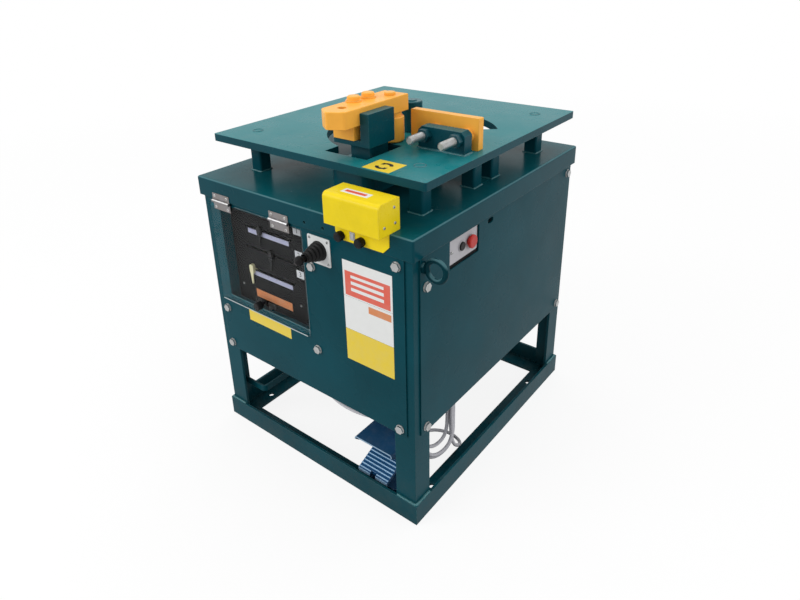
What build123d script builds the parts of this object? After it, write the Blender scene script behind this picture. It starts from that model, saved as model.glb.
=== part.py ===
from build123d import *
import math
import os

# Stirrup bending machine: a steel cabinet on an angle-iron base, with a slotted work table on
# posts and a bending head that a crank under the table swings round a centre pin.
# Millimetres, +Z up, the operator's side faces -Y. The origin is on the floor, in the middle
# of the four anchor holes of the base.

os.makedirs("parts", exist_ok=True)

# Driving dimensions: base, legs and lid
base_width = 597.0
base_depth = 666.0
angle_side = 50.0
angle_wall = 6.0
anchor_inset_x = 32.5
anchor_inset_y = 103.0
anchor_r = 7.0
lid_over_x = 1.5
lid_over_y = 2.0
lid_top = 660.0
lid_skirt = 43.0
lid_sheet = 3.2
lid_edge_r = 4.0
side_x = base_width / 2
front_y = -base_depth / 2
rear_y = base_depth / 2

# Cabinet panels and their hexagon bolts
panel_sheet = 3.0
panel_foot = lid_top - 440.0
panel_head = lid_top - 10.0
front_panel_inset = 23.5
side_panel_inset = 24.0
bolt_r = 5.0
bolt_flats = 16.0
bolt_head = 6.4
bolt_reach = 18.0
bolt_clear = 0.25
bolt_inset = 39.5
front_bolt_x = side_x - bolt_inset
foot_bolt_z = panel_foot + 14.0
head_bolt_z = lid_top - 62.0
front_left_bolts = ((-front_bolt_x, lid_top - 328.0), (-front_bolt_x, foot_bolt_z))
front_right_bolts = ((front_bolt_x, head_bolt_z), (front_bolt_x, foot_bolt_z))
side_front_bolts = ((front_y + 41.0, lid_top - 108.0), (front_y + 41.0, foot_bolt_z))
side_rear_bolts = ((rear_y - 32.0, head_bolt_z), (rear_y - 32.0, foot_bolt_z))
vent_y = front_y + 267.0
vent_z = lid_top - 57.0
vent_length = 22.0
vent_height = 12.0

# Work table and its posts
table_width = 572.0
table_depth = 600.0
table_plate = 16.0
table_rise = 90.0
table_top = lid_top + table_rise
table_x = 10.0
table_y = 8.0
table_corner_r = 4.0
post_side = 32.0
post_wall = 3.0
post_corner_r = 5.0
post_dx = 222.0
post_dy = 228.0
rib_posts = ((table_x + 226.0, table_y - 54.0), (table_x + 226.0, table_y + 18.0))

# Swing axis, centre pin and slot
axis_x = 77.0
axis_y = -35.0
slot_inner = 105.0
slot_outer = 184.0
slot_from = 36.0
slot_to = 270.0
side_pocket_outer = 222.0
side_pocket_from = 121.0
side_pocket_to = 149.0
front_pocket_left = axis_x - 55.0
front_pocket_right = axis_x + 53.0
front_pocket_end = axis_y - 215.0
pin_r = 12.0
pin_top = table_top + 68.0
pin_collar_r = 20.0
pin_collar = 2.0
centre_roll_r = 23.0
centre_roll_top = table_top + 66.0
run_clear = 0.05
press_clear = 0.02
turned_break = 1.5
head_break = 2.0

# Crank, drive post and bending head, placed from the swing axis
shaft_r = 20.0
shaft_foot = lid_top - 60.0
shaft_sink = 2.0
crank_foot = lid_top + 12.0
crank_head = lid_top + 64.0
crank_hub_r = 66.0
crank_half = 54.0
crank_end = axis_y - 215.0
crank_corner_r = 30.0
crank_edge_r = 6.0
drive_left = axis_x - 27.0
drive_right = axis_x + 27.0
drive_front = axis_y - 171.0
drive_back = axis_y - 115.0
drive_corner_r = 4.0
saddle_foot = table_top + 20.0
saddle_plate = 11.0
saddle_left = axis_x - 35.0
saddle_back = axis_y - 115.0
cheek_left = axis_x + 34.0
cheek_wall = 21.0
cheek_front = axis_y - 208.0
cheek_back = axis_y - 131.0
cheek_top = table_top + 85.0
cheek_bevel = 1.0
riser_left = axis_x - 32.0
riser_right = axis_x + 22.0
riser_front = axis_y - 213.0
riser_back = axis_y - 116.0
riser_nose_r = 2.5
arm_left = axis_x - 27.0
arm_foot = table_top + 62.0
arm_top = table_top + 95.0
arm_front = axis_y - 266.0
arm_back = axis_y - 57.0
arm_back_r = 14.0
arm_edge_r = 2.0
arm_nose_x = axis_x + 2.0
arm_nose_left = 20.0
arm_nose_right = 17.0
arm_nose_r = 8.0
arm_eye_x = axis_x + 5.0
arm_eye_y = axis_y - 223.0
arm_eye_r = 9.0
arm_bolt_spots = ((axis_x - 13.0, axis_y - 170.0), (axis_x - 11.0, axis_y - 129.0))
arm_bolt_r = 7.0
arm_bolt_head_r = 13.0
arm_bolt_head = 8.5
arm_washer_r = 16.0
arm_washer = 2.5
roll_x = axis_x + 10.0
roll_y = axis_y - 86.0
roll_r = 28.0
roll_foot = table_top + 2.0
roll_step_r = 23.0
roll_step = 8.0
roll_gap = 1.0
roll_pin_r = 10.0
roll_pin_head_r = 11.5
roll_pin_head = 6.0
roll_lip_r = 14.0
roll_lip = 4.0
roll_lip_rise = 1.0

# Fence, its bracket and adjusting bolts
fence_left = axis_x + 39.0
fence_long = 160.0
fence_front = axis_y - 55.0
fence_wall = 17.0
fence_high = 64.0
fence_corner_r = 2.0
fence_boss_r = 13.0
fence_boss = 6.0
fence_arch_half = 26.0
fence_arch_high = 20.0
bracket_left = fence_left + 47.0
bracket_right = fence_left + 154.0
bracket_front = fence_front - 40.0
bracket_back = fence_front - 15.0
bracket_high = 45.0
bracket_bevel = 8.0
adjust_x = (fence_left + 65.0, fence_left + 137.0)
adjust_rise = 29.0
adjust_r = 8.0
adjust_bite = 8.0
adjust_front = fence_front - 94.0
adjust_flats = 24.0
adjust_nut = 13.0
adjust_clear = 0.1

# Gear motor under the lid
flange_r = 110.0
flange_wall = 14.0
flange_bolt_ring = 97.0
flange_bolt_count = 4
lid_bore_r = 45.0
gear_r = 82.0
gear_foot = lid_top - 180.0
gear_edge_r = 8.0
motor_r = 70.0
motor_foot = lid_top - 355.0
fin_count = 24
fin_high = 6.0
fin_wall = 3.0
fin_root = 2.0
cowl_gap = 3.3
cowl_r = motor_r + fin_high + cowl_gap
cowl_sheet = 3.0
cowl_lap = 12.0
cowl_edge_r = 12.0
cowl_foot = lid_top - 415.0
cowl_vent_count = 12
cowl_vent_long = 34.0
cowl_vent_wide = 7.0
terminal_long = 90.0
terminal_wide = 70.0
terminal_out = 118.0
terminal_corner_r = 6.0

# Window, tray and angle dials
door_left = 28.5 - side_x
door_right = 22.0
door_foot = lid_top - 302.0
door_head = lid_top - 51.0
door_sheet = 4.0
door_gap = 0.4
door_corner_r = 5.0
window_left = door_left + 32.0
window_right = door_right - 3.0
window_foot = door_foot + 17.0
window_head = door_head - 3.0
tray_left = window_left - 2.0
tray_right = door_right + 8.0
tray_foot = door_foot
tray_head = door_head
tray_sheet = 1.6
tray_deep = 25.0
tray_ear_right = tray_right + 32.0
tray_ear_foot = tray_foot - 40.0
tray_ear_head = tray_head - 64.0
tray_bolt_x = tray_right + 12.0
tray_bolts = ((tray_bolt_x, tray_ear_head - 12.0), (tray_bolt_x, tray_ear_foot + 17.0))
dial_sheet = 3.0
dial_rows = (lid_top - 104.0, lid_top - 156.0, lid_top - 210.0)
dial_slot_left = tray_left + 44.0
dial_slot_right = tray_right - 74.0
dial_slot_high = 6.0
dog_starts = (dial_slot_left + 56.0, dial_slot_left + 86.0, dial_slot_left + 16.0)
dog_wide = 12.0
dog_high = 22.0
dog_deep = 7.0
dog_corner_r = 4.0
dog_nut_r = 7.0
dog_nut = 4.0
dog_clear = 0.1
dog_finger = 26.0
dog_finger_wide = 9.0
dog_finger_tip = 4.0
dog_finger_thick = 2.5
control_deep = 100.0
hinge_spots = (door_left + 48.0, door_right - 60.0)
hinge_long = 56.0
hinge_knuckles = 5
hinge_gap = 0.3
hinge_sheet = 1.5
hinge_proud = 2.5
hinge_z = door_head + 4.0
hinge_r = 3.5
hinge_pin_r = 1.5
hinge_leaf = 18.0
hinge_leaf_drop = 20.0
latch_x = (door_left + door_right) / 2 - 0.7
latch_z = door_foot + 31.0
latch_stem_r = 3.0
latch_knob_r = 10.0
latch_knob = 14.0
latch_knob_edge_r = 3.0
latch_neck_r = 6.0
latch_neck = 4.0
latch_cam_long = 26.0
latch_cam_half = 6.0
latch_cam_wall = 2.0
latch_cam_gap = 0.5

# Direction lever
lever_x = door_right + 46.0
lever_z = lid_top - 84.5
lever_plate_side = 60.0
lever_plate_wall = 2.0
lever_plate_corner_r = 3.0
lever_hole_r = 15.0
lever_ball_r = 8.0
lever_pin_r = 2.0
lever_pin_reach = 11.0
lever_stick_r = 4.5
lever_long = 56.0
lever_knob_r = 10.0
boot_base_r = 21.0
boot_tip_r = 9.0
boot_long = 40.0
boot_wall = 2.5
boot_folds = 4
boot_fold = 2.6
lever_box_side = 44.0
lever_box_deep = 40.0
lever_box_mouth_r = 13.0
lever_box_mouth = 12.0

# Push-button switch on the right side
switch_long = 101.0
switch_front = front_y + 120.0
switch_back = switch_front + switch_long
switch_foot = lid_top - 102.0
switch_head = lid_top - 51.0
switch_recess = 3.0
switch_plate = 2.5
switch_plate_corner_r = 3.0
switch_deep = 58.0
switch_ear = 22.0
switch_ear_half = 12.0
switch_ear_lap = 1.0
switch_gap = 2.0
switch_gap_foot = 7.0
start_y = switch_front + 43.0
stop_y = switch_front + 73.0
button_z = switch_foot + 27.0
start_r = 11.0
stop_r = 14.0
button_stem_r = 9.0
start_ring = 2.0
start_proud = 5.0
start_edge_r = 1.5
stop_proud = 11.0
stop_cap = 6.0
stop_edge_r = 3.0
button_stem = 9.0
button_travel = 3.5
button_spare = 1.0
button_clear = 0.2

# Yellow switch cover on the front edge of the lid, over holes in the skirt
cover_long = 130.0
cover_left = side_x - 177.5
cover_right = cover_left + cover_long
cover_front = front_y - 32.0
cover_back = front_y + 26.0
cover_high = 61.0
cover_sheet = 2.0
cover_nose_r = 10.0
apron_foot = lid_top - 40.0
apron_clip = 14.0
cover_knob_r = 9.0
cover_knob = 14.0
cover_knob_stem = 6.0
skirt_hole_z = lid_top - 31.0
skirt_hole_pitch = 50.0
skirt_hole_x = cover_left - 85.0
skirt_hole_r = 3.3

# Lifting eye
eye_y = front_y + 35.0
eye_z = lid_top - 66.0
eye_ring_r = 20.0
eye_bar_r = 5.0
eye_bar_sink = 3.0
eye_neck_r = 11.0
eye_neck = 5.0
eye_stem_r = 6.0
eye_stem_past = 6.0

# Storage bar
store_x = 98.5 - side_x
store_y = rear_y - 33.0
store_z = 96.0
store_high = 16.0
store_wall = 5.0
store_bend_r = 12.0

# Foot switch, stowed on the flange of the front rail
foot_x = side_x - 136.0
foot_base_wide = 110.0
foot_base_front = front_y + 33.0
foot_base_back = front_y + 165.0
foot_base_high = 12.0
foot_corner_r = 8.0
foot_tower_wide = 92.0
foot_tower_front = foot_base_back - 44.0
foot_tower_back = foot_base_back - 10.0
foot_tower_high = 34.0
hood_wide = 105.0
hood_wall = 3.0
hood_edge_r = 6.0
hood_front = foot_base_front - 7.0
hood_back = foot_base_back - 4.0
hood_top = 120.0
hood_slope_start = foot_base_back - 70.0
hood_slope_step = 1.0
hood_back_top = 88.0
hood_brow = 8.0
hood_cheek_front = foot_base_back - 34.0
pedal_wide = 82.0
pedal_front = foot_base_front - 12.0
pedal_front_z = 40.0
pedal_back = foot_base_back - 32.0
pedal_back_z = 86.0
pedal_wall = 8.0
pedal_boss_r = 8.0
pedal_pin_r = 4.0
pedal_pin_y = pedal_back - 4.0
pedal_rib_count = 11
pedal_rib = 2.4
pedal_notch = 16.0
pedal_notch_deep = 7.0

# Foot-switch lead, its glands and its hook: along the front panel's foot to the hank by the
# right panel, then down from the hank and over the floor to the switch
cord_r = 4.0
gland_r = 9.0
gland_long = 18.0
control_gland_x = -20.0
control_gland_y = front_y + 68.0
foot_gland_z = 27.0
hank_x = side_x - 43.5
hank_y = front_y + 140.0
hank_turn = 73.0
hank_wide = 100.0
hank_foot = 55.0
hank_top = panel_foot + 80.0
hank_band = 22.0
hank_thick = 20.0
lead_span = hank_x - control_gland_x
lead_points = (
    (control_gland_x, control_gland_y, tray_foot - gland_long),
    (control_gland_x, control_gland_y, tray_foot - 58.0),
    (control_gland_x + 0.029 * lead_span, front_y + 55.0, panel_foot + 36.0),
    (control_gland_x + 0.124 * lead_span, front_y + 33.0, panel_foot + 2.0),
    (control_gland_x + 0.298 * lead_span, front_y + 17.0, panel_foot - 15.0),
    (control_gland_x + 0.502 * lead_span, front_y + 15.0, panel_foot - 19.0),
    (control_gland_x + 0.691 * lead_span, front_y + 23.0, panel_foot - 16.0),
    (hank_x - 47.0, hank_y - 97.0, panel_foot - 10.0),
    (hank_x - 21.0, hank_y - 69.0, panel_foot + 6.0),
    (hank_x - 11.5, hank_y - 41.0, panel_foot + 38.0),
)
tail_points = (
    (hank_x + 11.5, hank_y + 37.0, hank_foot + 45.0),
    (hank_x + 13.0, hank_y + 47.0, hank_foot + 7.0),
    (hank_x + 9.0, hank_y + 81.0, 34.0),
    (hank_x - 12.0, hank_y + 113.0, 14.0),
    (foot_x + 45.5, foot_base_back + 102.0, 8.0),
    (foot_x + 14.5, foot_base_back + 86.0, 14.0),
    (foot_x, foot_base_back + 48.0, foot_gland_z),
    (foot_x, hood_back + gland_long, foot_gland_z),
)
bend_share = 0.45
hook_r = 4.0
hook_gap = 0.3
hook_inner_x = hank_x - 21.0
hook_rise = 14.0
hook_pad_r = 12.0
hook_pad = 3.0

# Power inlet on the rear panel
inlet_x = -180.0
inlet_z = panel_foot + 80.0

# Sizes that follow from the ones above
leg_x = side_x - angle_wall
leg_y = rear_y - angle_wall
leg_top = lid_top - lid_sheet
panel_x = leg_x + panel_sheet
panel_y = leg_y + panel_sheet
skirt_x = side_x + lid_over_x
skirt_y = rear_y + lid_over_y
anchor_x = side_x - anchor_inset_x
anchor_y = rear_y - anchor_inset_y
front_panel_half = side_x - front_panel_inset
side_panel_half = rear_y - side_panel_inset
table_foot = table_top - table_plate
tray_back = -leg_y + tray_deep
dial_back = tray_back + dial_sheet
door_face = -panel_y - door_sheet
hinge_y = -skirt_y - hinge_proud
saddle_top = saddle_foot + saddle_plate
fence_right = fence_left + fence_long
fence_back = fence_front + fence_wall
adjust_z = table_top + adjust_rise
switch_seat = leg_x - switch_recess
foot_floor = angle_wall
hank_inner_top = hank_top - hank_band


def block(x0, x1, y0, y1, z0, z1, mode=Mode.ADD):
    """Add or cut an upright block, given by its faces."""
    with Locations(((x0 + x1) / 2, (y0 + y1) / 2, (z0 + z1) / 2)):
        Box(x1 - x0, y1 - y0, z1 - z0, mode=mode)


def rod_x(y, z, x0, x1, radius, mode=Mode.ADD):
    """Add or cut a round bar along X."""
    with Locations(((x0 + x1) / 2, y, z)):
        Cylinder(radius, x1 - x0, rotation=(0, 90, 0), mode=mode)


def rod_y(x, z, y0, y1, radius, mode=Mode.ADD):
    """Add or cut a round bar along Y."""
    with Locations((x, (y0 + y1) / 2, z)):
        Cylinder(radius, y1 - y0, rotation=(90, 0, 0), mode=mode)


def rod_z(x, y, z0, z1, radius, mode=Mode.ADD):
    """Add or cut a round bar along Z."""
    with Locations((x, y, (z0 + z1) / 2)):
        Cylinder(radius, z1 - z0, mode=mode)


def facing(x, y, z, direction):
    """A drawing plane on a wall, whose normal points out of the wall."""
    across = (0, 1, 0) if direction[0] else (1, 0, 0)
    return Plane(origin=(x, y, z), x_dir=across, z_dir=direction)


def hex_bolt(plane, radius, flats, head, reach):
    """A hexagon bolt whose head sits on a drawing plane, with its shank behind it."""
    with BuildSketch(plane) as head_outline:
        RegularPolygon(flats / 2, 6, major_radius=False)
    extrude(head_outline.sketch, amount=head)
    with BuildSketch(plane) as shank_outline:
        Circle(radius)
    extrude(shank_outline.sketch, amount=-reach)


def save(piece, name):
    """Label a finished piece and write it."""
    piece.part.label = name
    export_step(piece.part, f"parts/{name}.step")


# Base rails: mitred angle iron, the upright wall outside and the flange on the floor
def rail(turn, half_long, half_far):
    plane = Plane.XY.rotated((0, 0, turn))
    for wide, tall in ((angle_side, angle_wall), (angle_wall, angle_side)):
        with BuildSketch(plane) as mitred:
            with BuildLine():
                Polyline(
                    (-half_long, -half_far),
                    (half_long, -half_far),
                    (half_long - wide, wide - half_far),
                    (wide - half_long, wide - half_far),
                    close=True,
                )
            make_face()
        extrude(mitred.sketch, amount=tall)


rail_turns = {"front": 0, "right": 90, "rear": 180, "left": 270}
for side, turn in rail_turns.items():
    along_x = side in ("front", "rear")
    half_long = (base_width if along_x else base_depth) / 2
    half_far = (base_depth if along_x else base_width) / 2
    with BuildPart() as base_rail:
        rail(turn, half_long, half_far)
        if not along_x:
            hole_x = anchor_x if side == "right" else -anchor_x
            for hole_y in (-anchor_y, anchor_y):
                rod_z(hole_x, hole_y, 0, angle_wall, anchor_r, Mode.SUBTRACT)
    save(base_rail, f"base_rail_{side}")


# Corner legs: angle iron inside the base, holed for the panel bolts
def leg(side_x, side_y, wall_points, side_points):
    heel_x = side_x * leg_x
    heel_y = side_y * leg_y
    toe_x = side_x * (leg_x - angle_side)
    toe_y = side_y * (leg_y - angle_side)
    root_x = side_x * (leg_x - angle_wall)
    root_y = side_y * (leg_y - angle_wall)
    with BuildSketch(Plane.XY.offset(angle_wall)) as section:
        with BuildLine():
            Polyline(
                (heel_x, heel_y),
                (toe_x, heel_y),
                (toe_x, root_y),
                (root_x, root_y),
                (root_x, toe_y),
                (heel_x, toe_y),
                close=True,
            )
        make_face()
    extrude(section.sketch, amount=leg_top - angle_wall)
    for x, z in wall_points:
        rod_y(x, z, min(heel_y, root_y), max(heel_y, root_y), bolt_r + bolt_clear, Mode.SUBTRACT)
    for y, z in side_points:
        rod_x(y, z, min(heel_x, root_x), max(heel_x, root_x), bolt_r + bolt_clear, Mode.SUBTRACT)


rear_left_bolts = ((-front_bolt_x, head_bolt_z), (-front_bolt_x, foot_bolt_z))
rear_right_bolts = front_right_bolts

with BuildPart() as corner_legs:
    leg(-1, -1, front_left_bolts, side_front_bolts)
    leg(1, -1, front_right_bolts, side_front_bolts)
    leg(-1, 1, rear_left_bolts, side_rear_bolts)
    leg(1, 1, rear_right_bolts, side_rear_bolts)
    rod_x(eye_y, eye_z, leg_x - angle_wall, leg_x, eye_stem_r + bolt_clear, Mode.SUBTRACT)
save(corner_legs, "corner_legs")

# Lid: folded sheet with a skirt all round, bored for the shaft and the gear motor's bolts
with BuildPart() as lid:
    block(-skirt_x, skirt_x, -skirt_y, skirt_y, lid_top - lid_skirt, lid_top)
    fillet(lid.edges().group_by(Axis.Z)[-1] + lid.edges().filter_by(Axis.Z), lid_edge_r)
    offset(amount=-lid_sheet, openings=lid.faces().sort_by(Axis.Z)[0])
    rod_z(axis_x, axis_y, lid_top - lid_sheet, lid_top, lid_bore_r, Mode.SUBTRACT)
    with Locations((axis_x, axis_y, lid_top)):
        with PolarLocations(flange_bolt_ring, flange_bolt_count, start_angle=45):
            Hole(bolt_r + bolt_clear, depth=lid_sheet)
    for step in range(4):
        hole_x = skirt_hole_x + step * skirt_hole_pitch
        rod_y(hole_x, skirt_hole_z, -skirt_y, -skirt_y + lid_sheet, skirt_hole_r, Mode.SUBTRACT)
save(lid, "lid")

# Cabinet panels
with BuildPart() as front_panel:
    block(-front_panel_half, front_panel_half, -panel_y, -leg_y, panel_foot, panel_head)
    block(window_left, window_right, -panel_y, -leg_y, window_foot, window_head, Mode.SUBTRACT)
    rod_y(lever_x, lever_z, -panel_y, -leg_y, lever_hole_r, Mode.SUBTRACT)
    for x, z in front_left_bolts + front_right_bolts + tray_bolts:
        rod_y(x, z, -panel_y, -leg_y, bolt_r + bolt_clear, Mode.SUBTRACT)
save(front_panel, "front_panel")

with BuildPart() as rear_panel:
    block(-front_panel_half, front_panel_half, leg_y, panel_y, panel_foot, panel_head)
    for x, z in rear_left_bolts + rear_right_bolts:
        rod_y(x, z, leg_y, panel_y, bolt_r + bolt_clear, Mode.SUBTRACT)
save(rear_panel, "rear_panel")


def side_panel(x0, x1):
    block(x0, x1, -side_panel_half, side_panel_half, panel_foot, panel_head)
    for y, z in side_front_bolts + side_rear_bolts:
        rod_x(y, z, x0, x1, bolt_r + bolt_clear, Mode.SUBTRACT)


with BuildPart() as left_panel:
    side_panel(-panel_x, -leg_x)
save(left_panel, "left_panel")

with BuildPart() as right_panel:
    side_panel(leg_x, panel_x)
    block(leg_x, panel_x, switch_front - switch_gap, switch_back + switch_gap,
          switch_foot - switch_gap_foot, switch_head + switch_gap, Mode.SUBTRACT)
    rod_x(eye_y, eye_z, leg_x, panel_x, eye_stem_r + bolt_clear, Mode.SUBTRACT)
    with BuildSketch(facing(leg_x, vent_y, vent_z, (1, 0, 0))):
        SlotOverall(vent_length, vent_height)
    extrude(amount=panel_sheet, mode=Mode.SUBTRACT)
save(right_panel, "right_panel")

with BuildPart() as hex_bolts:
    for x, z in front_left_bolts + front_right_bolts + tray_bolts:
        hex_bolt(facing(x, -panel_y, z, (0, -1, 0)), bolt_r, bolt_flats, bolt_head, bolt_reach)
    for x, z in rear_left_bolts + rear_right_bolts:
        hex_bolt(facing(x, panel_y, z, (0, 1, 0)), bolt_r, bolt_flats, bolt_head, bolt_reach)
    for y, z in side_front_bolts + side_rear_bolts:
        hex_bolt(facing(panel_x, y, z, (1, 0, 0)), bolt_r, bolt_flats, bolt_head, bolt_reach)
        hex_bolt(facing(-panel_x, y, z, (-1, 0, 0)), bolt_r, bolt_flats, bolt_head, bolt_reach)
    for spot in range(flange_bolt_count):
        angle = math.radians(45 + spot * 360 / flange_bolt_count)
        x = axis_x + flange_bolt_ring * math.cos(angle)
        y = axis_y + flange_bolt_ring * math.sin(angle)
        hex_bolt(Plane(origin=(x, y, lid_top), z_dir=(0, 0, 1)), bolt_r, bolt_flats, bolt_head,
                 lid_sheet + flange_wall)
    for x in adjust_x:
        with BuildSketch(facing(x, bracket_front, adjust_z, (0, -1, 0))) as nut_outline:
            RegularPolygon(adjust_flats / 2, 6, major_radius=False)
            Circle(adjust_r + adjust_clear, mode=Mode.SUBTRACT)
        extrude(nut_outline.sketch, amount=adjust_nut)
save(hex_bolts, "hex_bolts")


# Table posts: square tube between the lid and the table
def post(x, y):
    with BuildSketch(Plane.XY.offset(lid_top)) as tube:
        with Locations((x, y)):
            RectangleRounded(post_side, post_side, post_corner_r)
            RectangleRounded(post_side - 2 * post_wall, post_side - 2 * post_wall,
                             post_corner_r - post_wall, mode=Mode.SUBTRACT)
    extrude(tube.sketch, amount=table_foot - lid_top)


corner_posts = tuple(
    (table_x + side_x * post_dx, table_y + side_y * post_dy)
    for side_x in (-1, 1)
    for side_y in (-1, 1)
)
with BuildPart() as table_posts:
    for spot in corner_posts + rib_posts:
        post(*spot)
save(table_posts, "table_posts")


# Work table: a thick plate cut by the slot that the drive post swings in
def ring_sector(inner, outer, start, end):
    with BuildSketch(Plane.XY.offset(table_foot)) as sector:
        with BuildLine():
            far = CenterArc((axis_x, axis_y), outer, start, end - start)
            near = CenterArc((axis_x, axis_y), inner, start, end - start)
            Line(far @ 0, near @ 0)
            Line(far @ 1, near @ 1)
        make_face()
    extrude(sector.sketch, amount=table_plate, mode=Mode.SUBTRACT)


with BuildPart() as table:
    with BuildSketch(Plane.XY.offset(table_foot)):
        with Locations((table_x, table_y)):
            RectangleRounded(table_width, table_depth, table_corner_r)
    extrude(amount=table_plate)
    ring_sector(slot_inner, slot_outer, slot_from, slot_to)
    ring_sector(slot_inner, side_pocket_outer, side_pocket_from, side_pocket_to)
    block(front_pocket_left, front_pocket_right, front_pocket_end, axis_y - slot_inner,
          table_foot, table_top, Mode.SUBTRACT)
    rod_z(axis_x, axis_y, table_foot, table_top, pin_r + press_clear, Mode.SUBTRACT)
save(table, "table")

with BuildPart() as centre_pin:
    rod_z(axis_x, axis_y, table_foot, pin_top, pin_r)
    rod_z(axis_x, axis_y, table_top, table_top + pin_collar, pin_collar_r)
    chamfer(centre_pin.edges().group_by(Axis.Z)[-1], head_break)
save(centre_pin, "centre_pin")

with BuildPart() as centre_roll:
    rod_z(axis_x, axis_y, table_top + pin_collar, centre_roll_top, centre_roll_r)
    chamfer(centre_roll.edges().filter_by(GeomType.CIRCLE), turned_break)
    rod_z(axis_x, axis_y, table_top + pin_collar, centre_roll_top, pin_r + run_clear,
          Mode.SUBTRACT)
save(centre_roll, "centre_roll")

# Output shaft, crank and drive post
with BuildPart() as output_shaft:
    rod_z(axis_x, axis_y, shaft_foot, crank_head - shaft_sink, shaft_r)
    chamfer(output_shaft.edges().filter_by(GeomType.CIRCLE), turned_break)
save(output_shaft, "output_shaft")

with BuildPart() as crank_arm:
    with BuildSketch(Plane.XY.offset(crank_foot)):
        with Locations((axis_x, (axis_y + crank_end) / 2)):
            crank_web = Rectangle(2 * crank_half, axis_y - crank_end)
        fillet(crank_web.vertices().group_by(Axis.Y)[0], crank_corner_r)
        with Locations((axis_x, axis_y)):
            Circle(crank_hub_r)
    extrude(amount=crank_head - crank_foot)
    fillet(crank_arm.edges().group_by(Axis.Z)[0], crank_edge_r)
    rod_z(axis_x, axis_y, crank_foot, crank_head, shaft_r + press_clear, Mode.SUBTRACT)
    with BuildSketch(Plane.XY.offset(crank_head)):
        with Locations(((drive_left + drive_right) / 2, (drive_front + drive_back) / 2)):
            RectangleRounded(drive_right - drive_left, drive_back - drive_front, drive_corner_r)
    extrude(amount=saddle_foot - crank_head)
save(crank_arm, "crank_arm")

# Bending head: saddle with its cheek, riser, arm, bolts, roll and roll pin
with BuildPart() as head_saddle:
    block(saddle_left, cheek_left, cheek_front, saddle_back, saddle_foot, saddle_top)
    block(cheek_left, cheek_left + cheek_wall, cheek_front, cheek_back, saddle_foot, cheek_top)
    chamfer(head_saddle.edges().group_by(Axis.Z)[-1].filter_by(Axis.X), cheek_bevel)
    for x, y in arm_bolt_spots:
        rod_z(x, y, saddle_foot, saddle_top, arm_bolt_r + bolt_clear, Mode.SUBTRACT)
save(head_saddle, "head_saddle")

with BuildPart() as arm_riser:
    block(riser_left, riser_right, riser_front, riser_back, saddle_top, arm_foot)
    fillet(arm_riser.edges().filter_by(Axis.Z).group_by(Axis.Y)[0], riser_nose_r)
    for x, y in arm_bolt_spots:
        rod_z(x, y, saddle_top, arm_foot, arm_bolt_r + bolt_clear, Mode.SUBTRACT)
save(arm_riser, "arm_riser")

with BuildPart() as bend_arm:
    with BuildSketch(Plane.XY.offset(arm_foot)):
        slab = Polygon(
            (arm_left, arm_back),
            (arm_left, arm_front + arm_nose_left),
            (arm_nose_x, arm_front),
            (cheek_left, arm_front + arm_nose_right),
            (cheek_left, arm_back),
            align=None,
        )
        fillet(slab.vertices().sort_by(Axis.Y)[:3], arm_nose_r)
        fillet(slab.vertices().group_by(Axis.Y)[-1], arm_back_r)
    extrude(amount=arm_top - arm_foot)
    fillet(bend_arm.edges().group_by(Axis.Z)[-1], arm_edge_r)
    rod_z(arm_eye_x, arm_eye_y, arm_foot, arm_top, arm_eye_r, Mode.SUBTRACT)
    for x, y in arm_bolt_spots:
        rod_z(x, y, arm_foot, arm_top, arm_bolt_r + bolt_clear, Mode.SUBTRACT)
    rod_z(roll_x, roll_y, arm_foot, arm_top, roll_pin_r + press_clear, Mode.SUBTRACT)
save(bend_arm, "bend_arm")

with BuildPart() as arm_bolts:
    for x, y in arm_bolt_spots:
        rod_z(x, y, saddle_foot, arm_top, arm_bolt_r)
        rod_z(x, y, arm_top, arm_top + arm_washer, arm_washer_r)
        rod_z(x, y, arm_top + arm_washer, arm_top + arm_washer + arm_bolt_head, arm_bolt_head_r)
    chamfer(arm_bolts.edges().group_by(Axis.Z)[-1], head_break)
save(arm_bolts, "arm_bolts")

with BuildPart() as roll_pin:
    lip_foot = roll_foot + roll_lip_rise
    rod_z(roll_x, roll_y, lip_foot, lip_foot + roll_lip, roll_lip_r)
    rod_z(roll_x, roll_y, lip_foot, arm_top, roll_pin_r)
    rod_z(roll_x, roll_y, arm_top, arm_top + roll_pin_head, roll_pin_head_r)
    chamfer(roll_pin.edges().group_by(Axis.Z)[-1], turned_break)
save(roll_pin, "roll_pin")

with BuildPart() as bend_roll:
    roll_top = arm_foot - roll_gap
    rod_z(roll_x, roll_y, roll_foot, roll_top - roll_step, roll_r)
    chamfer(bend_roll.edges().filter_by(GeomType.CIRCLE), head_break)
    rod_z(roll_x, roll_y, roll_top - roll_step, roll_top, roll_step_r)
    rod_z(roll_x, roll_y, roll_foot, roll_top, roll_pin_r + run_clear, Mode.SUBTRACT)
    rod_z(roll_x, roll_y, roll_foot, roll_foot + roll_lip_rise + roll_lip, roll_lip_r + bolt_clear,
          Mode.SUBTRACT)
save(bend_roll, "bend_roll")

# Fence that the bar lies against, with its welded bracket and two adjusting bolts
with BuildPart() as fence:
    with BuildSketch(facing(0, fence_back, 0, (0, -1, 0))):
        with Locations(((fence_left + fence_right) / 2, table_top + fence_high / 2)):
            RectangleRounded(fence_right - fence_left, fence_high, fence_corner_r)
        with Locations(((fence_left + fence_right) / 2, table_top)):
            Rectangle(2 * fence_arch_half, 2 * fence_arch_high, mode=Mode.SUBTRACT)
    extrude(amount=fence_wall)
    for x in adjust_x:
        rod_y(x, adjust_z, fence_front - fence_boss, fence_front, fence_boss_r)
        rod_y(x, adjust_z, fence_front - fence_boss, fence_front + adjust_bite,
              adjust_r + adjust_clear, Mode.SUBTRACT)
save(fence, "fence")

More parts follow.
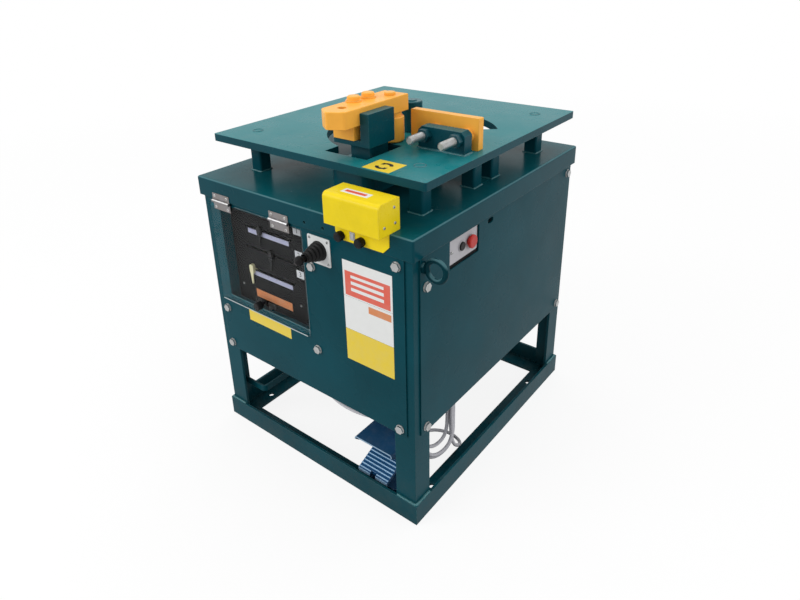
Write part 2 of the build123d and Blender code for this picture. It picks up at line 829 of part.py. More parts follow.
with BuildPart() as fence_bracket:
    block(bracket_left, bracket_right, bracket_front, bracket_back, table_top,
          table_top + bracket_high)
    chamfer(fence_bracket.edges().group_by(Axis.Z)[-1].filter_by(Axis.Y), bracket_bevel)
    for x in adjust_x:
        rod_y(x, adjust_z, bracket_front, bracket_back, adjust_r + adjust_clear, Mode.SUBTRACT)
save(fence_bracket, "fence_bracket")

with BuildPart() as fence_bolts:
    for x in adjust_x:
        rod_y(x, adjust_z, adjust_front, fence_front + adjust_bite, adjust_r)
    chamfer(fence_bolts.edges().group_by(Axis.Y)[0], head_break)
save(fence_bolts, "fence_bolts")

# Gear motor hung under the lid: reducer, finned motor, fan cowl and terminal box
with BuildPart() as gear_reducer:
    flange_foot = leg_top - flange_wall
    rod_z(axis_x, axis_y, flange_foot, leg_top, flange_r)
    rod_z(axis_x, axis_y, gear_foot, flange_foot, gear_r)
    fillet(gear_reducer.edges().group_by(Axis.Z)[0], gear_edge_r)
    rod_z(axis_x, axis_y, shaft_foot, leg_top, shaft_r + run_clear, Mode.SUBTRACT)
    with Locations((axis_x, axis_y, leg_top)):
        with PolarLocations(flange_bolt_ring, flange_bolt_count, start_angle=45):
            Hole(bolt_r + bolt_clear, depth=flange_wall)
save(gear_reducer, "gear_reducer")

with BuildPart() as motor:
    rod_z(axis_x, axis_y, motor_foot, gear_foot, motor_r)
    with BuildSketch(Plane.XY.offset(motor_foot)):
        with Locations((axis_x, axis_y)):
            with PolarLocations(motor_r + (fin_high - fin_root) / 2, fin_count):
                Rectangle(fin_high + fin_root, fin_wall)
    extrude(amount=gear_foot - motor_foot)
    middle = (motor_foot + gear_foot) / 2
    with BuildSketch(facing(axis_x - terminal_out, axis_y, middle, (1, 0, 0))):
        RectangleRounded(terminal_wide, terminal_long, terminal_corner_r)
    extrude(amount=terminal_out)
save(motor, "motor")

with BuildPart() as motor_cowl:
    rod_z(axis_x, axis_y, cowl_foot, motor_foot + cowl_lap, cowl_r)
    fillet(motor_cowl.edges().group_by(Axis.Z)[0], cowl_edge_r)
    offset(amount=-cowl_sheet, openings=motor_cowl.faces().sort_by(Axis.Z)[-1])
    with BuildSketch(Plane.XY.offset(cowl_foot)):
        with Locations((axis_x, axis_y)):
            with PolarLocations(cowl_r / 2, cowl_vent_count):
                SlotOverall(cowl_vent_long, cowl_vent_wide)
    extrude(amount=cowl_sheet, mode=Mode.SUBTRACT)
save(motor_cowl, "motor_cowl")

# Tray behind the window, dial panel, setting dogs and control box
with BuildPart() as dial_tray:
    block(tray_left - tray_sheet, tray_right + tray_sheet, -leg_y, tray_back,
          tray_foot - tray_sheet, tray_head + tray_sheet)
    block(tray_left, tray_right, -leg_y, tray_back, tray_foot, tray_head, Mode.SUBTRACT)
    block(tray_right, tray_ear_right, -leg_y, -leg_y + tray_sheet, tray_ear_foot, tray_ear_head)
    for x, z in tray_bolts:
        rod_y(x, z, -leg_y, -leg_y + tray_sheet, bolt_r + bolt_clear, Mode.SUBTRACT)
save(dial_tray, "dial_tray")

with BuildPart() as dial_panel:
    block(tray_left - tray_sheet, tray_right + tray_sheet, tray_back, dial_back,
          tray_foot - tray_sheet, tray_head + tray_sheet)
    for row in dial_rows:
        with BuildSketch(facing((dial_slot_left + dial_slot_right) / 2, dial_back, row, (0, -1, 0))):
            SlotOverall(dial_slot_right - dial_slot_left, dial_slot_high)
        extrude(amount=dial_sheet, mode=Mode.SUBTRACT)
save(dial_panel, "dial_panel")

for number, (dog_x, row) in enumerate(zip(dog_starts, dial_rows), start=1):
    with BuildPart() as setting_dog:
        block(dog_x - dog_wide / 2, dog_x + dog_wide / 2, tray_back - dog_deep, tray_back,
              row - dog_high / 2, row + dog_high / 2)
        fillet(setting_dog.edges().filter_by(Axis.Y), dog_corner_r)
        rod_y(dog_x, row, tray_back, dial_back, dial_slot_high / 2 - dog_clear)
        rod_y(dog_x, row, dial_back, dial_back + dog_nut, dog_nut_r)
        finger_top = row - dog_high / 2
        with BuildSketch(facing(dog_x, tray_back - dog_deep + dog_finger_thick, finger_top, (0, -1, 0))):
            with BuildLine():
                Polyline(
                    (-dog_finger_wide / 2, dog_corner_r),
                    (dog_finger_wide / 2, dog_corner_r),
                    (dog_finger_tip / 2, -dog_finger),
                    (-dog_finger_tip / 2, -dog_finger),
                    close=True,
                )
            make_face()
        extrude(amount=dog_finger_thick)
    save(setting_dog, f"setting_dog_{number}")

with BuildPart() as control_box:
    block(tray_left, tray_right, dial_back, dial_back + control_deep, tray_foot, tray_head)
    offset(amount=-tray_sheet, openings=control_box.faces().sort_by(Axis.Y)[0])
save(control_box, "control_box")


# Window door of clear sheet, hung on two butt hinges from the skirt of the lid
def knuckle_span(centre, index):
    """Start and end of one knuckle along X."""
    step = hinge_long / hinge_knuckles
    start = centre - hinge_long / 2 + index * step
    return start + hinge_gap / 2, start + step - hinge_gap / 2


def hinge_leaves(y0, z0, z1, first):
    """Both leaves of one kind: a flat leaf relieved for the other leaf's knuckles."""
    for centre in hinge_spots:
        block(centre - hinge_long / 2, centre + hinge_long / 2, y0, y0 + hinge_sheet, z0, z1)
        for index in range(1 - first, hinge_knuckles, 2):
            start, end = knuckle_span(centre, index)
            rod_x(hinge_y, hinge_z, start - hinge_gap, end + hinge_gap, hinge_r + 2 * hinge_gap,
                  Mode.SUBTRACT)
        for index in range(first, hinge_knuckles, 2):
            start, end = knuckle_span(centre, index)
            rod_x(hinge_y, hinge_z, start, end, hinge_r)
            if first:
                rod_x(hinge_y, hinge_z, start, end, hinge_pin_r + run_clear, Mode.SUBTRACT)


with BuildPart() as hinge_frame_leaves:
    hinge_leaves(-skirt_y - hinge_sheet, hinge_z, hinge_z + hinge_leaf, 0)
    for centre in hinge_spots:
        rod_x(hinge_y, hinge_z, centre - hinge_long / 2, centre + hinge_long / 2, hinge_pin_r)
save(hinge_frame_leaves, "hinge_frame_leaves")

with BuildPart() as hinge_door_leaves:
    hinge_leaves(door_face - hinge_sheet, hinge_z - hinge_leaf_drop, hinge_z, 1)
save(hinge_door_leaves, "hinge_door_leaves")

with BuildPart() as window_door:
    block(door_left, door_right, door_face, -panel_y - door_gap, door_foot, door_head)
    fillet(window_door.edges().filter_by(Axis.Y), door_corner_r)
    rod_y(latch_x, latch_z, door_face, -panel_y, latch_stem_r + run_clear, Mode.SUBTRACT)
save(window_door, "window_door")

with BuildPart() as door_latch:
    cam_face = -leg_y + latch_cam_gap
    rod_y(latch_x, latch_z, door_face, cam_face + latch_cam_wall, latch_stem_r)
    rod_y(latch_x, latch_z, door_face - latch_neck, door_face, latch_neck_r)
    rod_y(latch_x, latch_z, door_face - latch_neck - latch_knob, door_face - latch_neck,
          latch_knob_r)
    fillet(door_latch.edges().group_by(Axis.Y)[0], latch_knob_edge_r)
    block(latch_x - latch_cam_long, latch_x + latch_cam_half, cam_face, cam_face + latch_cam_wall,
          latch_z - latch_cam_half, latch_z + latch_cam_half)
save(door_latch, "door_latch")

# Direction lever: square plate, stick with its ball and cross pin, rubber boot and the switch behind
plate_face = -panel_y - lever_plate_wall
with BuildPart() as lever_plate:
    half = lever_plate_side / 2
    block(lever_x - half, lever_x + half, plate_face, -panel_y, lever_z - half, lever_z + half)
    fillet(lever_plate.edges().filter_by(Axis.Y), lever_plate_corner_r)
    rod_y(lever_x, lever_z, plate_face, -panel_y, lever_ball_r + adjust_clear, Mode.SUBTRACT)
    reach = lever_pin_reach + adjust_clear
    half = lever_pin_r + adjust_clear
    block(lever_x - reach, lever_x + reach, plate_face, -panel_y, lever_z - half, lever_z + half,
          Mode.SUBTRACT)
save(lever_plate, "lever_plate")

with BuildPart() as lever_stick:
    ball_y = -panel_y - lever_plate_wall / 2
    knob_y = -panel_y - lever_long
    with Locations((lever_x, ball_y, lever_z)):
        Sphere(lever_ball_r)
    rod_x(ball_y, lever_z, lever_x - lever_pin_reach, lever_x + lever_pin_reach, lever_pin_r)
    rod_y(lever_x, lever_z, knob_y, ball_y, lever_stick_r)
    with Locations((lever_x, knob_y, lever_z)):
        Sphere(lever_knob_r)
save(lever_stick, "lever_stick")

with BuildPart() as lever_boot:
    with BuildSketch(facing(lever_x, plate_face, lever_z, (0, 0, 1))):
        with BuildLine():
            fold_step = boot_long / boot_folds
            taper = (boot_base_r - boot_tip_r) / boot_folds
            outline = [(boot_base_r, 0)]
            for fold in range(boot_folds):
                edge = boot_base_r - taper * (fold + 0.5)
                outline.append((edge + boot_fold / 2, -fold_step * (fold + 0.45)))
                outline.append((edge - boot_fold / 2, -fold_step * (fold + 1)))
            inner = [(x - boot_wall - boot_fold / 2, y) for x, y in reversed(outline)]
            inner[0] = (max(inner[0][0], lever_stick_r + boot_wall / 2), inner[0][1])
            Polyline(*outline, *inner, close=True)
        make_face()
    revolve(axis=Axis((lever_x, plate_face, lever_z), (0, 1, 0)))
save(lever_boot, "lever_boot")

with BuildPart() as lever_switch:
    half = lever_box_side / 2
    block(lever_x - half, lever_x + half, -leg_y, -leg_y + lever_box_deep, lever_z - half,
          lever_z + half)
    rod_y(lever_x, lever_z, -leg_y, -leg_y + lever_box_mouth, lever_box_mouth_r, Mode.SUBTRACT)
save(lever_switch, "lever_switch")

# Start and stop buttons in their recessed switch
with BuildPart() as switch_box:
    block(switch_seat - switch_deep, switch_seat, switch_front, switch_back, switch_foot,
          switch_head)
    for y0, y1 in ((switch_front - switch_ear, switch_front + switch_ear_lap),
                   (switch_back - switch_ear_lap, switch_back + switch_ear)):
        block(switch_seat - switch_recess, leg_x, y0, y1, button_z - switch_ear_half,
              button_z + switch_ear_half)
    block(switch_seat, leg_x, switch_front, switch_back, switch_foot, switch_head, Mode.SUBTRACT)
    for y in (start_y, stop_y):
        rod_x(y, button_z, switch_seat - button_stem - button_travel - button_spare, switch_seat,
              button_stem_r + button_clear, Mode.SUBTRACT)
save(switch_box, "switch_box")

with BuildPart() as switch_face:
    block(switch_seat, switch_seat + switch_plate, switch_front, switch_back, switch_foot,
          switch_head)
    fillet(switch_face.edges().filter_by(Axis.X), switch_plate_corner_r)
    rod_x(start_y, button_z, switch_seat, switch_seat + switch_plate + start_ring, start_r)
    for y in (start_y, stop_y):
        rod_x(y, button_z, switch_seat, switch_seat + switch_plate + start_ring,
              button_stem_r + button_clear, Mode.SUBTRACT)
save(switch_face, "switch_face")

face_x = switch_seat + switch_plate
with BuildPart() as start_button:
    rod_x(start_y, button_z, switch_seat - button_stem, face_x + start_proud, button_stem_r)
    fillet(start_button.edges().group_by(Axis.X)[-1], start_edge_r)
save(start_button, "start_button")

with BuildPart() as stop_button:
    rod_x(stop_y, button_z, switch_seat - button_stem, face_x + stop_proud, button_stem_r)
    rod_x(stop_y, button_z, face_x + stop_proud - stop_cap, face_x + stop_proud, stop_r)
    fillet(stop_button.edges().group_by(Axis.X)[-1], stop_edge_r)
save(stop_button, "stop_button")

# Yellow switch cover: folded box with an apron over the skirt, end plate and two thumb screws
with BuildPart() as switch_cover:
    end_x = cover_right - cover_sheet
    block(cover_left, end_x, cover_front, cover_back, lid_top, lid_top + cover_high)
    top_edges = switch_cover.edges().group_by(Axis.Z)[-1].filter_by(Axis.X)
    fillet(top_edges.sort_by(Axis.Y)[0], cover_nose_r)
    offset(amount=-cover_sheet, openings=switch_cover.faces().sort_by(Axis.X)[-1])
    block(cover_left + cover_sheet, end_x, -skirt_y + lid_sheet, cover_back - cover_sheet, lid_top,
          lid_top + cover_sheet, Mode.SUBTRACT)
    apron_face = -skirt_y - cover_sheet
    with BuildSketch(facing(0, -skirt_y, 0, (0, -1, 0))):
        with Locations(((cover_left + end_x) / 2, (apron_foot + lid_top + cover_sheet) / 2)):
            apron = Rectangle(end_x - cover_left, lid_top + cover_sheet - apron_foot)
        chamfer(apron.vertices().group_by(Axis.Y)[0], apron_clip)
    extrude(amount=cover_sheet)
    for step in (2, 3):
        hole_x = skirt_hole_x + step * skirt_hole_pitch
        rod_y(hole_x, skirt_hole_z, apron_face, -skirt_y, skirt_hole_r, Mode.SUBTRACT)
save(switch_cover, "switch_cover")

with BuildPart() as cover_end:
    block(end_x, cover_right, cover_front, cover_back, lid_top, lid_top + cover_high)
    end_edges = cover_end.edges().filter_by(Axis.X).group_by(Axis.Z)[-1]
    fillet(end_edges.sort_by(Axis.Y)[0], cover_nose_r)
save(cover_end, "cover_end")

with BuildPart() as cover_knobs:
    for step in (2, 3):
        knob_x = skirt_hole_x + step * skirt_hole_pitch
        rod_y(knob_x, skirt_hole_z, apron_face - cover_knob, apron_face, cover_knob_r)
        rod_y(knob_x, skirt_hole_z, apron_face, apron_face + cover_knob_stem, skirt_hole_r - bolt_clear)
    chamfer(cover_knobs.edges().group_by(Axis.Y)[0], head_break)
save(cover_knobs, "cover_knobs")

# Lifting eye screwed through the right panel into the leg
with BuildPart() as lifting_eye:
    ring_x = panel_x + eye_neck + eye_ring_r + eye_bar_r - eye_bar_sink
    rod_x(eye_y, eye_z, leg_x - angle_wall - eye_stem_past, panel_x, eye_stem_r)
    rod_x(eye_y, eye_z, panel_x, panel_x + eye_neck, eye_neck_r)
    with Locations((ring_x, eye_y, eye_z)):
        Torus(eye_ring_r, eye_bar_r, rotation=(90, 0, 0))
save(lifting_eye, "lifting_eye")

# Storage bar: flat bar welded to the two left legs, making a bay along the left side
with BuildPart() as storage_bar:
    reach = -leg_x + angle_wall
    with BuildSketch(Plane.XY.offset(store_z - store_high / 2)):
        with BuildLine():
            FilletPolyline((reach, -store_y), (store_x, -store_y), (store_x, store_y),
                           (reach, store_y), radius=store_bend_r)
            offset(amount=store_wall, side=Side.LEFT)
        make_face()
    extrude(amount=store_high)
save(storage_bar, "storage_bar")

# Foot switch: base, hood with the riveted pedal pin, and ribbed pedal
foot_top = foot_floor + foot_base_high
pedal_rise = math.atan2(pedal_back_z - pedal_front_z, pedal_back - pedal_front)
pedal_drop = pedal_wall / math.cos(pedal_rise)
pedal_pin_z = (pedal_back_z + (pedal_pin_y - pedal_back) * math.tan(pedal_rise) - pedal_drop / 2)

with BuildPart() as foot_base:
    half = foot_base_wide / 2
    block(foot_x - half, foot_x + half, foot_base_front, foot_base_back, foot_floor, foot_top)
    fillet(foot_base.edges().filter_by(Axis.Z), foot_corner_r)
    half = foot_tower_wide / 2
    block(foot_x - half, foot_x + half, foot_tower_front, foot_tower_back, foot_top,
          foot_floor + foot_tower_high)
save(foot_base, "foot_base")

with BuildPart() as foot_hood:
    left = foot_x - hood_wide / 2
    with BuildSketch(facing(left, 0, 0, (1, 0, 0))):
        with BuildLine():
            Polyline(
                (hood_cheek_front, foot_top),
                (hood_front, hood_top - hood_brow),
                (hood_front, hood_top),
                (hood_slope_start, hood_top),
                (hood_back, hood_back_top),
                (hood_back, foot_top),
                close=True,
            )
        make_face()
    extrude(amount=hood_wide)
    top_edges = foot_hood.edges().filter_by(GeomType.LINE).filter_by(Axis.Y).group_by(Axis.Z)[-1]
    fillet(top_edges, hood_edge_r)
    with BuildSketch(facing(left + hood_wall, 0, 0, (1, 0, 0))):
        with BuildLine():
            Polyline(
                (pedal_front - hood_wide, foot_top),
                (pedal_front - hood_wide, hood_top - hood_wall),
                (hood_slope_start - hood_slope_step, hood_top - hood_wall),
                (hood_back - hood_wall, hood_back_top - hood_wall),
                (hood_back - hood_wall, foot_top),
                close=True,
            )
        make_face()
    extrude(amount=hood_wide - 2 * hood_wall, mode=Mode.SUBTRACT)
    rod_x(pedal_pin_y, pedal_pin_z, left, left + hood_wide, pedal_pin_r)
save(foot_hood, "foot_hood")

with BuildPart() as foot_pedal:
    left = foot_x - pedal_wide / 2
    with BuildSketch(facing(left, 0, 0, (1, 0, 0))):
        with BuildLine():
            Polyline(
                (pedal_front, pedal_front_z),
                (pedal_back, pedal_back_z),
                (pedal_back, pedal_back_z - pedal_drop),
                (pedal_front, pedal_front_z - pedal_drop),
                close=True,
            )
        make_face()
        for rib in range(pedal_rib_count):
            share = (rib + 0.6) / (pedal_rib_count + 3)
            rib_y = pedal_front + share * (pedal_back - pedal_front)
            rib_z = pedal_front_z + share * (pedal_back_z - pedal_front_z)
            with Locations((rib_y, rib_z)):
                Rectangle(pedal_rib, pedal_rib, rotation=math.degrees(pedal_rise))
        with Locations((pedal_pin_y, pedal_pin_z)):
            Circle(pedal_boss_r)
            Circle(pedal_pin_r + run_clear, mode=Mode.SUBTRACT)
    extrude(amount=pedal_wide)
    half = pedal_notch / 2
    block(foot_x - half, foot_x + half, pedal_front, pedal_front + pedal_notch_deep,
          foot_top, hood_top, Mode.SUBTRACT)
save(foot_pedal, "foot_pedal")

# Glands, lead, hank and the hook that carries the hank
with BuildPart() as cord_glands:
    rod_z(control_gland_x, control_gland_y, tray_foot - gland_long, tray_foot, gland_r)
    rod_y(foot_x, foot_gland_z, hood_back, hood_back + gland_long, gland_r)
    rod_y(inlet_x, inlet_z, panel_y, panel_y + gland_long, gland_r)
    chamfer(cord_glands.edges().filter_by(GeomType.CIRCLE), turned_break)
save(cord_glands, "cord_glands")


def bend_radii(points):
    """The largest even arc at each corner of a cord's route."""
    radii = []
    for before, here, after in zip(points, points[1:], points[2:]):
        run_in = Vector(here) - Vector(before)
        run_out = Vector(after) - Vector(here)
        turn = math.radians(run_in.get_angle(run_out))
        radii.append(bend_share * min(run_in.length, run_out.length) / math.tan(turn / 2))
    return radii


def cord_tube(points, name):
    """A round cord of straight runs and tangent arcs."""
    radii = bend_radii(points)
    with BuildPart() as tube:
        with BuildLine() as route:
            FilletPolyline(*points, radius=radii)
        with BuildSketch(Plane(origin=route.line @ 0, z_dir=route.line % 0)):
            Circle(cord_r)
        sweep()
    length = sum(edge.length for edge in route.edges())
    print(name, "radii", [round(r) for r in radii], "length", round(length),
          "volume share", round(tube.part.volume / (math.pi * cord_r**2 * length), 3))
    save(tube, name)


cord_tube(lead_points, "lead_run")
cord_tube(tail_points, "lead_tail")

with BuildPart() as lead_hank:
    across = (math.cos(math.radians(hank_turn)), math.sin(math.radians(hank_turn)), 0)
    out = (math.sin(math.radians(hank_turn)), -math.cos(math.radians(hank_turn)), 0)
    middle = (hank_foot + hank_top) / 2
    with BuildSketch(Plane(origin=(hank_x, hank_y, middle), x_dir=across, z_dir=out)):
        SlotOverall(hank_top - hank_foot, hank_wide, rotation=90)
        SlotOverall(hank_top - hank_foot - 2 * hank_band, hank_wide - 2 * hank_band, rotation=90,
                    mode=Mode.SUBTRACT)
    extrude(amount=hank_thick / 2, both=True)
save(lead_hank, "lead_hank")

with BuildPart() as lead_hook:
    hook_z = hank_inner_top - hook_r - hook_gap
    with BuildLine() as hook_path:
        FilletPolyline((leg_x, hank_y, hook_z), (hook_inner_x, hank_y, hook_z),
                       (hook_inner_x, hank_y, hook_z + hook_rise), radius=2 * hook_r)
    with BuildSketch(facing(leg_x, hank_y, hook_z, (-1, 0, 0))):
        Circle(hook_r)
    sweep()
    rod_x(hank_y, hook_z, leg_x - hook_pad, leg_x, hook_pad_r)
save(lead_hook, "lead_hook")
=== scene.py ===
"""Stirrup bending machine: camera, light, finishes, labels, the foot switch's lead and small fittings.

Places and sizes on the machine are in millimetres and become metres through MM. The stage is in metres.
The frame is the CAD's own: X to the operator's right, Y away from the operator, Z up from the floor.
"""

import math

import bmesh
import bpy
from mathutils import Matrix, Vector


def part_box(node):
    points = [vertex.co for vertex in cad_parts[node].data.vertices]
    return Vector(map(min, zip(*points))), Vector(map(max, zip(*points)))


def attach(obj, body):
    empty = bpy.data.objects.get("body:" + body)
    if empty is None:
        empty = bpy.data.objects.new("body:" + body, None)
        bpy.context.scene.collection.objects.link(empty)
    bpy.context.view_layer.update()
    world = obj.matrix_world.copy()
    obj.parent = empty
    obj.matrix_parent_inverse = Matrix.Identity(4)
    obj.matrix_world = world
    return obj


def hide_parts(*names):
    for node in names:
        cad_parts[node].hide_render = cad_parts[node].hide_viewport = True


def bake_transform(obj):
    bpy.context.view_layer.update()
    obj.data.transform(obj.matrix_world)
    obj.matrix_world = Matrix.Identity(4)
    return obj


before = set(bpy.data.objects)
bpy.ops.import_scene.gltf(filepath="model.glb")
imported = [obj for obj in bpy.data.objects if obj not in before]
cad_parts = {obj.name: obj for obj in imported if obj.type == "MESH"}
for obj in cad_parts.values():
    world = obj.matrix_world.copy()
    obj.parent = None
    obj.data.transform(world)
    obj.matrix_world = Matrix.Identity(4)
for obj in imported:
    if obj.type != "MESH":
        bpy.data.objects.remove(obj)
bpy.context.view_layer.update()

MM = 0.001
X, Y, Z = range(3)

# Camera, fitted to the straight edges of the photograph
PICTURE = (800, 600)
FOCAL_PIXELS = 636.4
CENTRE_PIXEL = (385, 222)
CAMERA_AT = (880.5, -1114.3, 1117.0)
CAMERA_AZIMUTH = 39.42
CAMERA_ELEVATION = 23.39
CAMERA_ROLL = -1.78
SENSOR = 36.0
CLIP = (0.05, 200.0)

# Light
WHITE = (1.0, 1.0, 1.0, 1.0)
FLOOR_SIDE = 80.0
FLOOR_SEEN = (0.98, 0.98, 0.98, 1.0)
FLOOR_BOUNCE = (0.45, 0.45, 0.45, 1.0)
FLOOR_ROUGHNESS = 0.9
FLOOR_WHITE = 0.86
FLOOR_SHADOW_REACH = (1.2, 4.0)
SKY_LEVEL = 0.66
SOFTBOXES = {
    # name: place, point aimed at, side, watts
    "key_box": ((-1.9, -3.3, 2.6), (0.0, 0.0, 0.45), 2.4, 74.0),
    "top_box": ((0.2, 0.9, 3.1), (0.0, 0.0, 0.6), 2.6, 22.0),
    "side_box": ((3.6, 0.6, 1.9), (0.0, 0.0, 0.45), 2.0, 26.0),
}

# Uneven surfaces, by noise
PATCHES = {
    # name: scale, detail and roughness of the noise, and its levels where a patch starts and is full
    "rubbed_edge": (60.0, 6.0, 0.7, 0.44, 0.62),
    "uneven_paint": (5.0, 5.0, 0.6, 0.3, 0.7),
    # patches of the painted reflection on faces that look up
    "top_reflection": (3.0, 3.0, 0.5, 0.25, 0.75),
    "dust": (38.0, 7.0, 0.75, 0.46, 0.72),
    "splash": (24.0, 6.0, 0.7, 0.42, 0.7),
    "scratches_along": (14.0, 4.0, 0.6, 0.66, 0.72),
    "scratches_across": (14.0, 4.0, 0.6, 0.67, 0.73),
    "scuffed_area": (7.0, 3.0, 0.5, 0.45, 0.65),
    "sheen": (11.0, 4.0, 0.5, 0.3, 0.7),
    "stains": (45.0, 6.0, 0.7, 0.45, 0.7),
    "smears": (26.0, 5.0, 0.65, 0.35, 0.75),
    "faded_print": (55.0, 5.0, 0.6, 0.35, 0.75),
    "smeared_sheet": (16.0, 6.0, 0.7, 0.4, 0.8),
}


def mm(*values):
    """Millimetres to metres, as one vector."""
    return Vector(value * MM for value in values)


def box_mm(node):
    """Low and high corner of a CAD node, in millimetres."""
    return [[value / MM for value in corner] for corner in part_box(node)]


def rgba(colour):
    """A colour with full cover."""
    return (*colour, 1.0)


def new_object(name, data):
    """An object in the scene, at the origin."""
    made = bpy.data.objects.new(name, data)
    bpy.context.scene.collection.objects.link(made)
    return made


class Graph:
    """Adds nodes to a tree. An input given as a socket is linked, anything else is set as a value."""

    def __init__(self, tree):
        self.tree = tree

    def add(self, kind, inputs=None, **settings):
        node = self.tree.nodes.new(kind)
        for name, value in settings.items():
            setattr(node, name, value)
        for key, value in (inputs or {}).items():
            self.feed(node.inputs[key], value)
        return node

    def get(self, kind, inputs=None, output=0, **settings):
        """One output of a new node."""
        return self.add(kind, inputs, **settings).outputs[output]

    def use(self, tree, **inputs):
        """The outputs of a shared group."""
        return self.add("ShaderNodeGroup", inputs, node_tree=tree).outputs

    def feed(self, socket, value):
        if isinstance(value, bpy.types.NodeSocket):
            self.tree.links.new(value, socket)
        else:
            socket.default_value = value

    def math(self, operation, *values, clamp=False):
        return self.get("ShaderNodeMath", dict(enumerate(values)), operation=operation, use_clamp=clamp)

    def times(self, first, *others, clamp=False):
        """Product of two or more values."""
        for other in others:
            first = self.math("MULTIPLY", first, other, clamp=clamp)
        return first

    def mix(self, share, a, b):
        """Colour a, with a share of colour b over it."""
        return self.get("ShaderNodeMix", {"Factor": share, 6: a, 7: b}, 2, data_type="RGBA")

    def span(self, value, low, high, to_low=0.0, to_high=1.0):
        """Value from low..high spread over to_low..to_high, and held there outside."""
        return self.get("ShaderNodeMapRange", {0: value, 1: low, 2: high, 3: to_low, 4: to_high})

    def place(self, stretch=None):
        """Object coordinates, stretched along each axis where that is asked for."""
        where = self.get("ShaderNodeTexCoord", output="Object")
        return self.get("ShaderNodeMapping", {"Vector": where, "Scale": stretch}) if stretch else where

    def normal(self):
        return self.get("ShaderNodeNewGeometry", output="Normal")

    def part(self, vector, axis):
        """One component of a vector."""
        return self.get("ShaderNodeSeparateXYZ", {0: vector}, axis)

    def noise(self, scale, detail, roughness=0.5, stretch=None):
        inputs = {"Vector": self.place(stretch), "Scale": scale, "Detail": detail, "Roughness": roughness}
        return self.get("ShaderNodeTexNoise", inputs)

    def patches(self, name, to_low=0.0, to_high=1.0, stretch=None):
        """Soft patches from the table, spread over to_low..to_high."""
        *noise, start, full = PATCHES[name]
        return self.span(self.noise(*noise, stretch), start, full, to_low, to_high)


def blank_material(name):
    """A node material, and the inputs of its Principled shader."""
    material = bpy.data.materials.new(name)
    material.use_nodes = True
    return material, Graph(material.node_tree), material.node_tree.nodes["Principled BSDF"].inputs


# Camera and stage

def make_camera():
    """The photograph's point of view, with the shift that its framing has."""
    data = bpy.data.cameras.new("camera")
    data.sensor_width = SENSOR
    data.lens = FOCAL_PIXELS * SENSOR / PICTURE[0]
    data.shift_x = (PICTURE[0] / 2 - CENTRE_PIXEL[0]) / PICTURE[0]
    data.shift_y = (CENTRE_PIXEL[1] - PICTURE[1] / 2) / PICTURE[0]
    data.clip_start, data.clip_end = CLIP
    camera = new_object("camera", data)
    turned = Matrix.Translation(mm(*CAMERA_AT))
    for angle, axis in ((CAMERA_AZIMUTH, "Z"), (90 - CAMERA_ELEVATION, "X"), (CAMERA_ROLL, "Z")):
        turned @= Matrix.Rotation(math.radians(angle), 4, axis)
    camera.matrix_world = turned
    bpy.context.scene.camera = camera


def white_to_the_eye(graph):
    """1 for rays that come from the camera, a reflection or a clear sheet, 0 for light that bounces."""
    path = graph.add("ShaderNodeLightPath").outputs
    seen = graph.math("ADD", path["Is Camera Ray"], path["Is Glossy Ray"])
    return graph.math("ADD", seen, path["Is Transmission Ray"], clamp=True)


def make_floor():
    """A pale floor that keeps the shadow and is plain white away from it."""
    half = FLOOR_SIDE / 2
    mesh = bpy.data.meshes.new("studio_floor")
    corners = [(-half, -half, 0.0), (half, -half, 0.0), (half, half, 0.0), (-half, half, 0.0)]
    mesh.from_pydata(corners, [], [(0, 1, 2, 3)])
    floor = new_object("studio_floor", mesh)
    finish, graph, shader = blank_material("studio_floor")
    nodes = finish.node_tree.nodes
    eye = white_to_the_eye(graph)
    graph.feed(shader["Base Color"], graph.mix(eye, FLOOR_BOUNCE, FLOOR_SEEN))
    graph.feed(shader["Roughness"], FLOOR_ROUGHNESS)
    white = graph.get("ShaderNodeEmission", {"Strength": 1.0})
    away = graph.get("ShaderNodeVectorMath", {0: graph.place()}, "Value", operation="LENGTH")
    share = graph.times(eye, graph.span(away, *FLOOR_SHADOW_REACH, FLOOR_WHITE, 1.0))
    blend = graph.get("ShaderNodeMixShader", {0: share, 1: nodes["Principled BSDF"].outputs[0], 2: white})
    graph.feed(nodes["Material Output"].inputs["Surface"], blend)
    mesh.materials.append(finish)


def make_light():
    """A white surround and three soft lights."""
    scene = bpy.context.scene
    scene.view_settings.view_transform = "Standard"
    world = bpy.data.worlds.new("surround")
    world.use_nodes = True
    graph = Graph(world.node_tree)
    background = world.node_tree.nodes["Background"].inputs
    graph.feed(background["Color"], WHITE)
    graph.feed(background["Strength"], graph.span(white_to_the_eye(graph), 0.0, 1.0, SKY_LEVEL, 1.0))
    scene.world = world
    for name, (place, aim, side, watts) in SOFTBOXES.items():
        light = bpy.data.lights.new(name, "AREA")
        light.energy, light.size = watts, side
        lamp = new_object(name, light)
        lamp.location = place
        lamp.rotation_mode = "QUATERNION"
        lamp.rotation_quaternion = (Vector(aim) - Vector(place)).to_track_quat("-Z", "Y")


make_camera()
make_floor()
make_light()


# Shared shader groups

NUMBER, COLOUR, MATERIAL = "NodeSocketFloat", "NodeSocketColor", "NodeSocketMaterial"
OUTPUTS = {"VALUE": NUMBER, "RGBA": COLOUR, "VECTOR": "NodeSocketVector", "GEOMETRY": "NodeSocketGeometry"}

SHARP_EDGE = (0.995, 0.80)
# least share of the edge mask anywhere along a sharp edge: a painted highlight line under the patchy wear
EDGE_HIGHLIGHT_FLOOR = 0.4
# least share of the painted reflection where it is patchy
LEAST_TOP_REFLECTION = 0.75
MOTTLE = 0.15
LYING = (0.6, 1.0)
DUST = (0.42, 0.41, 0.38, 1.0)
DIRT = (0.10, 0.085, 0.065, 1.0)
DIRT_HEIGHT = 120.0 * MM
ALONG = (1.0, 34.0, 9.0)
ACROSS = (29.0, 1.5, 11.0)
DRAWN = (30.0, 30.0, 700.0)
DRAWN_LINES = (9.0, 3.0)
STAIN = (0.22, 0.18, 0.13, 1.0)
BLOOM = (0.5, 0.5, 0.48, 1.0)
FINE_DETAIL = 2.0
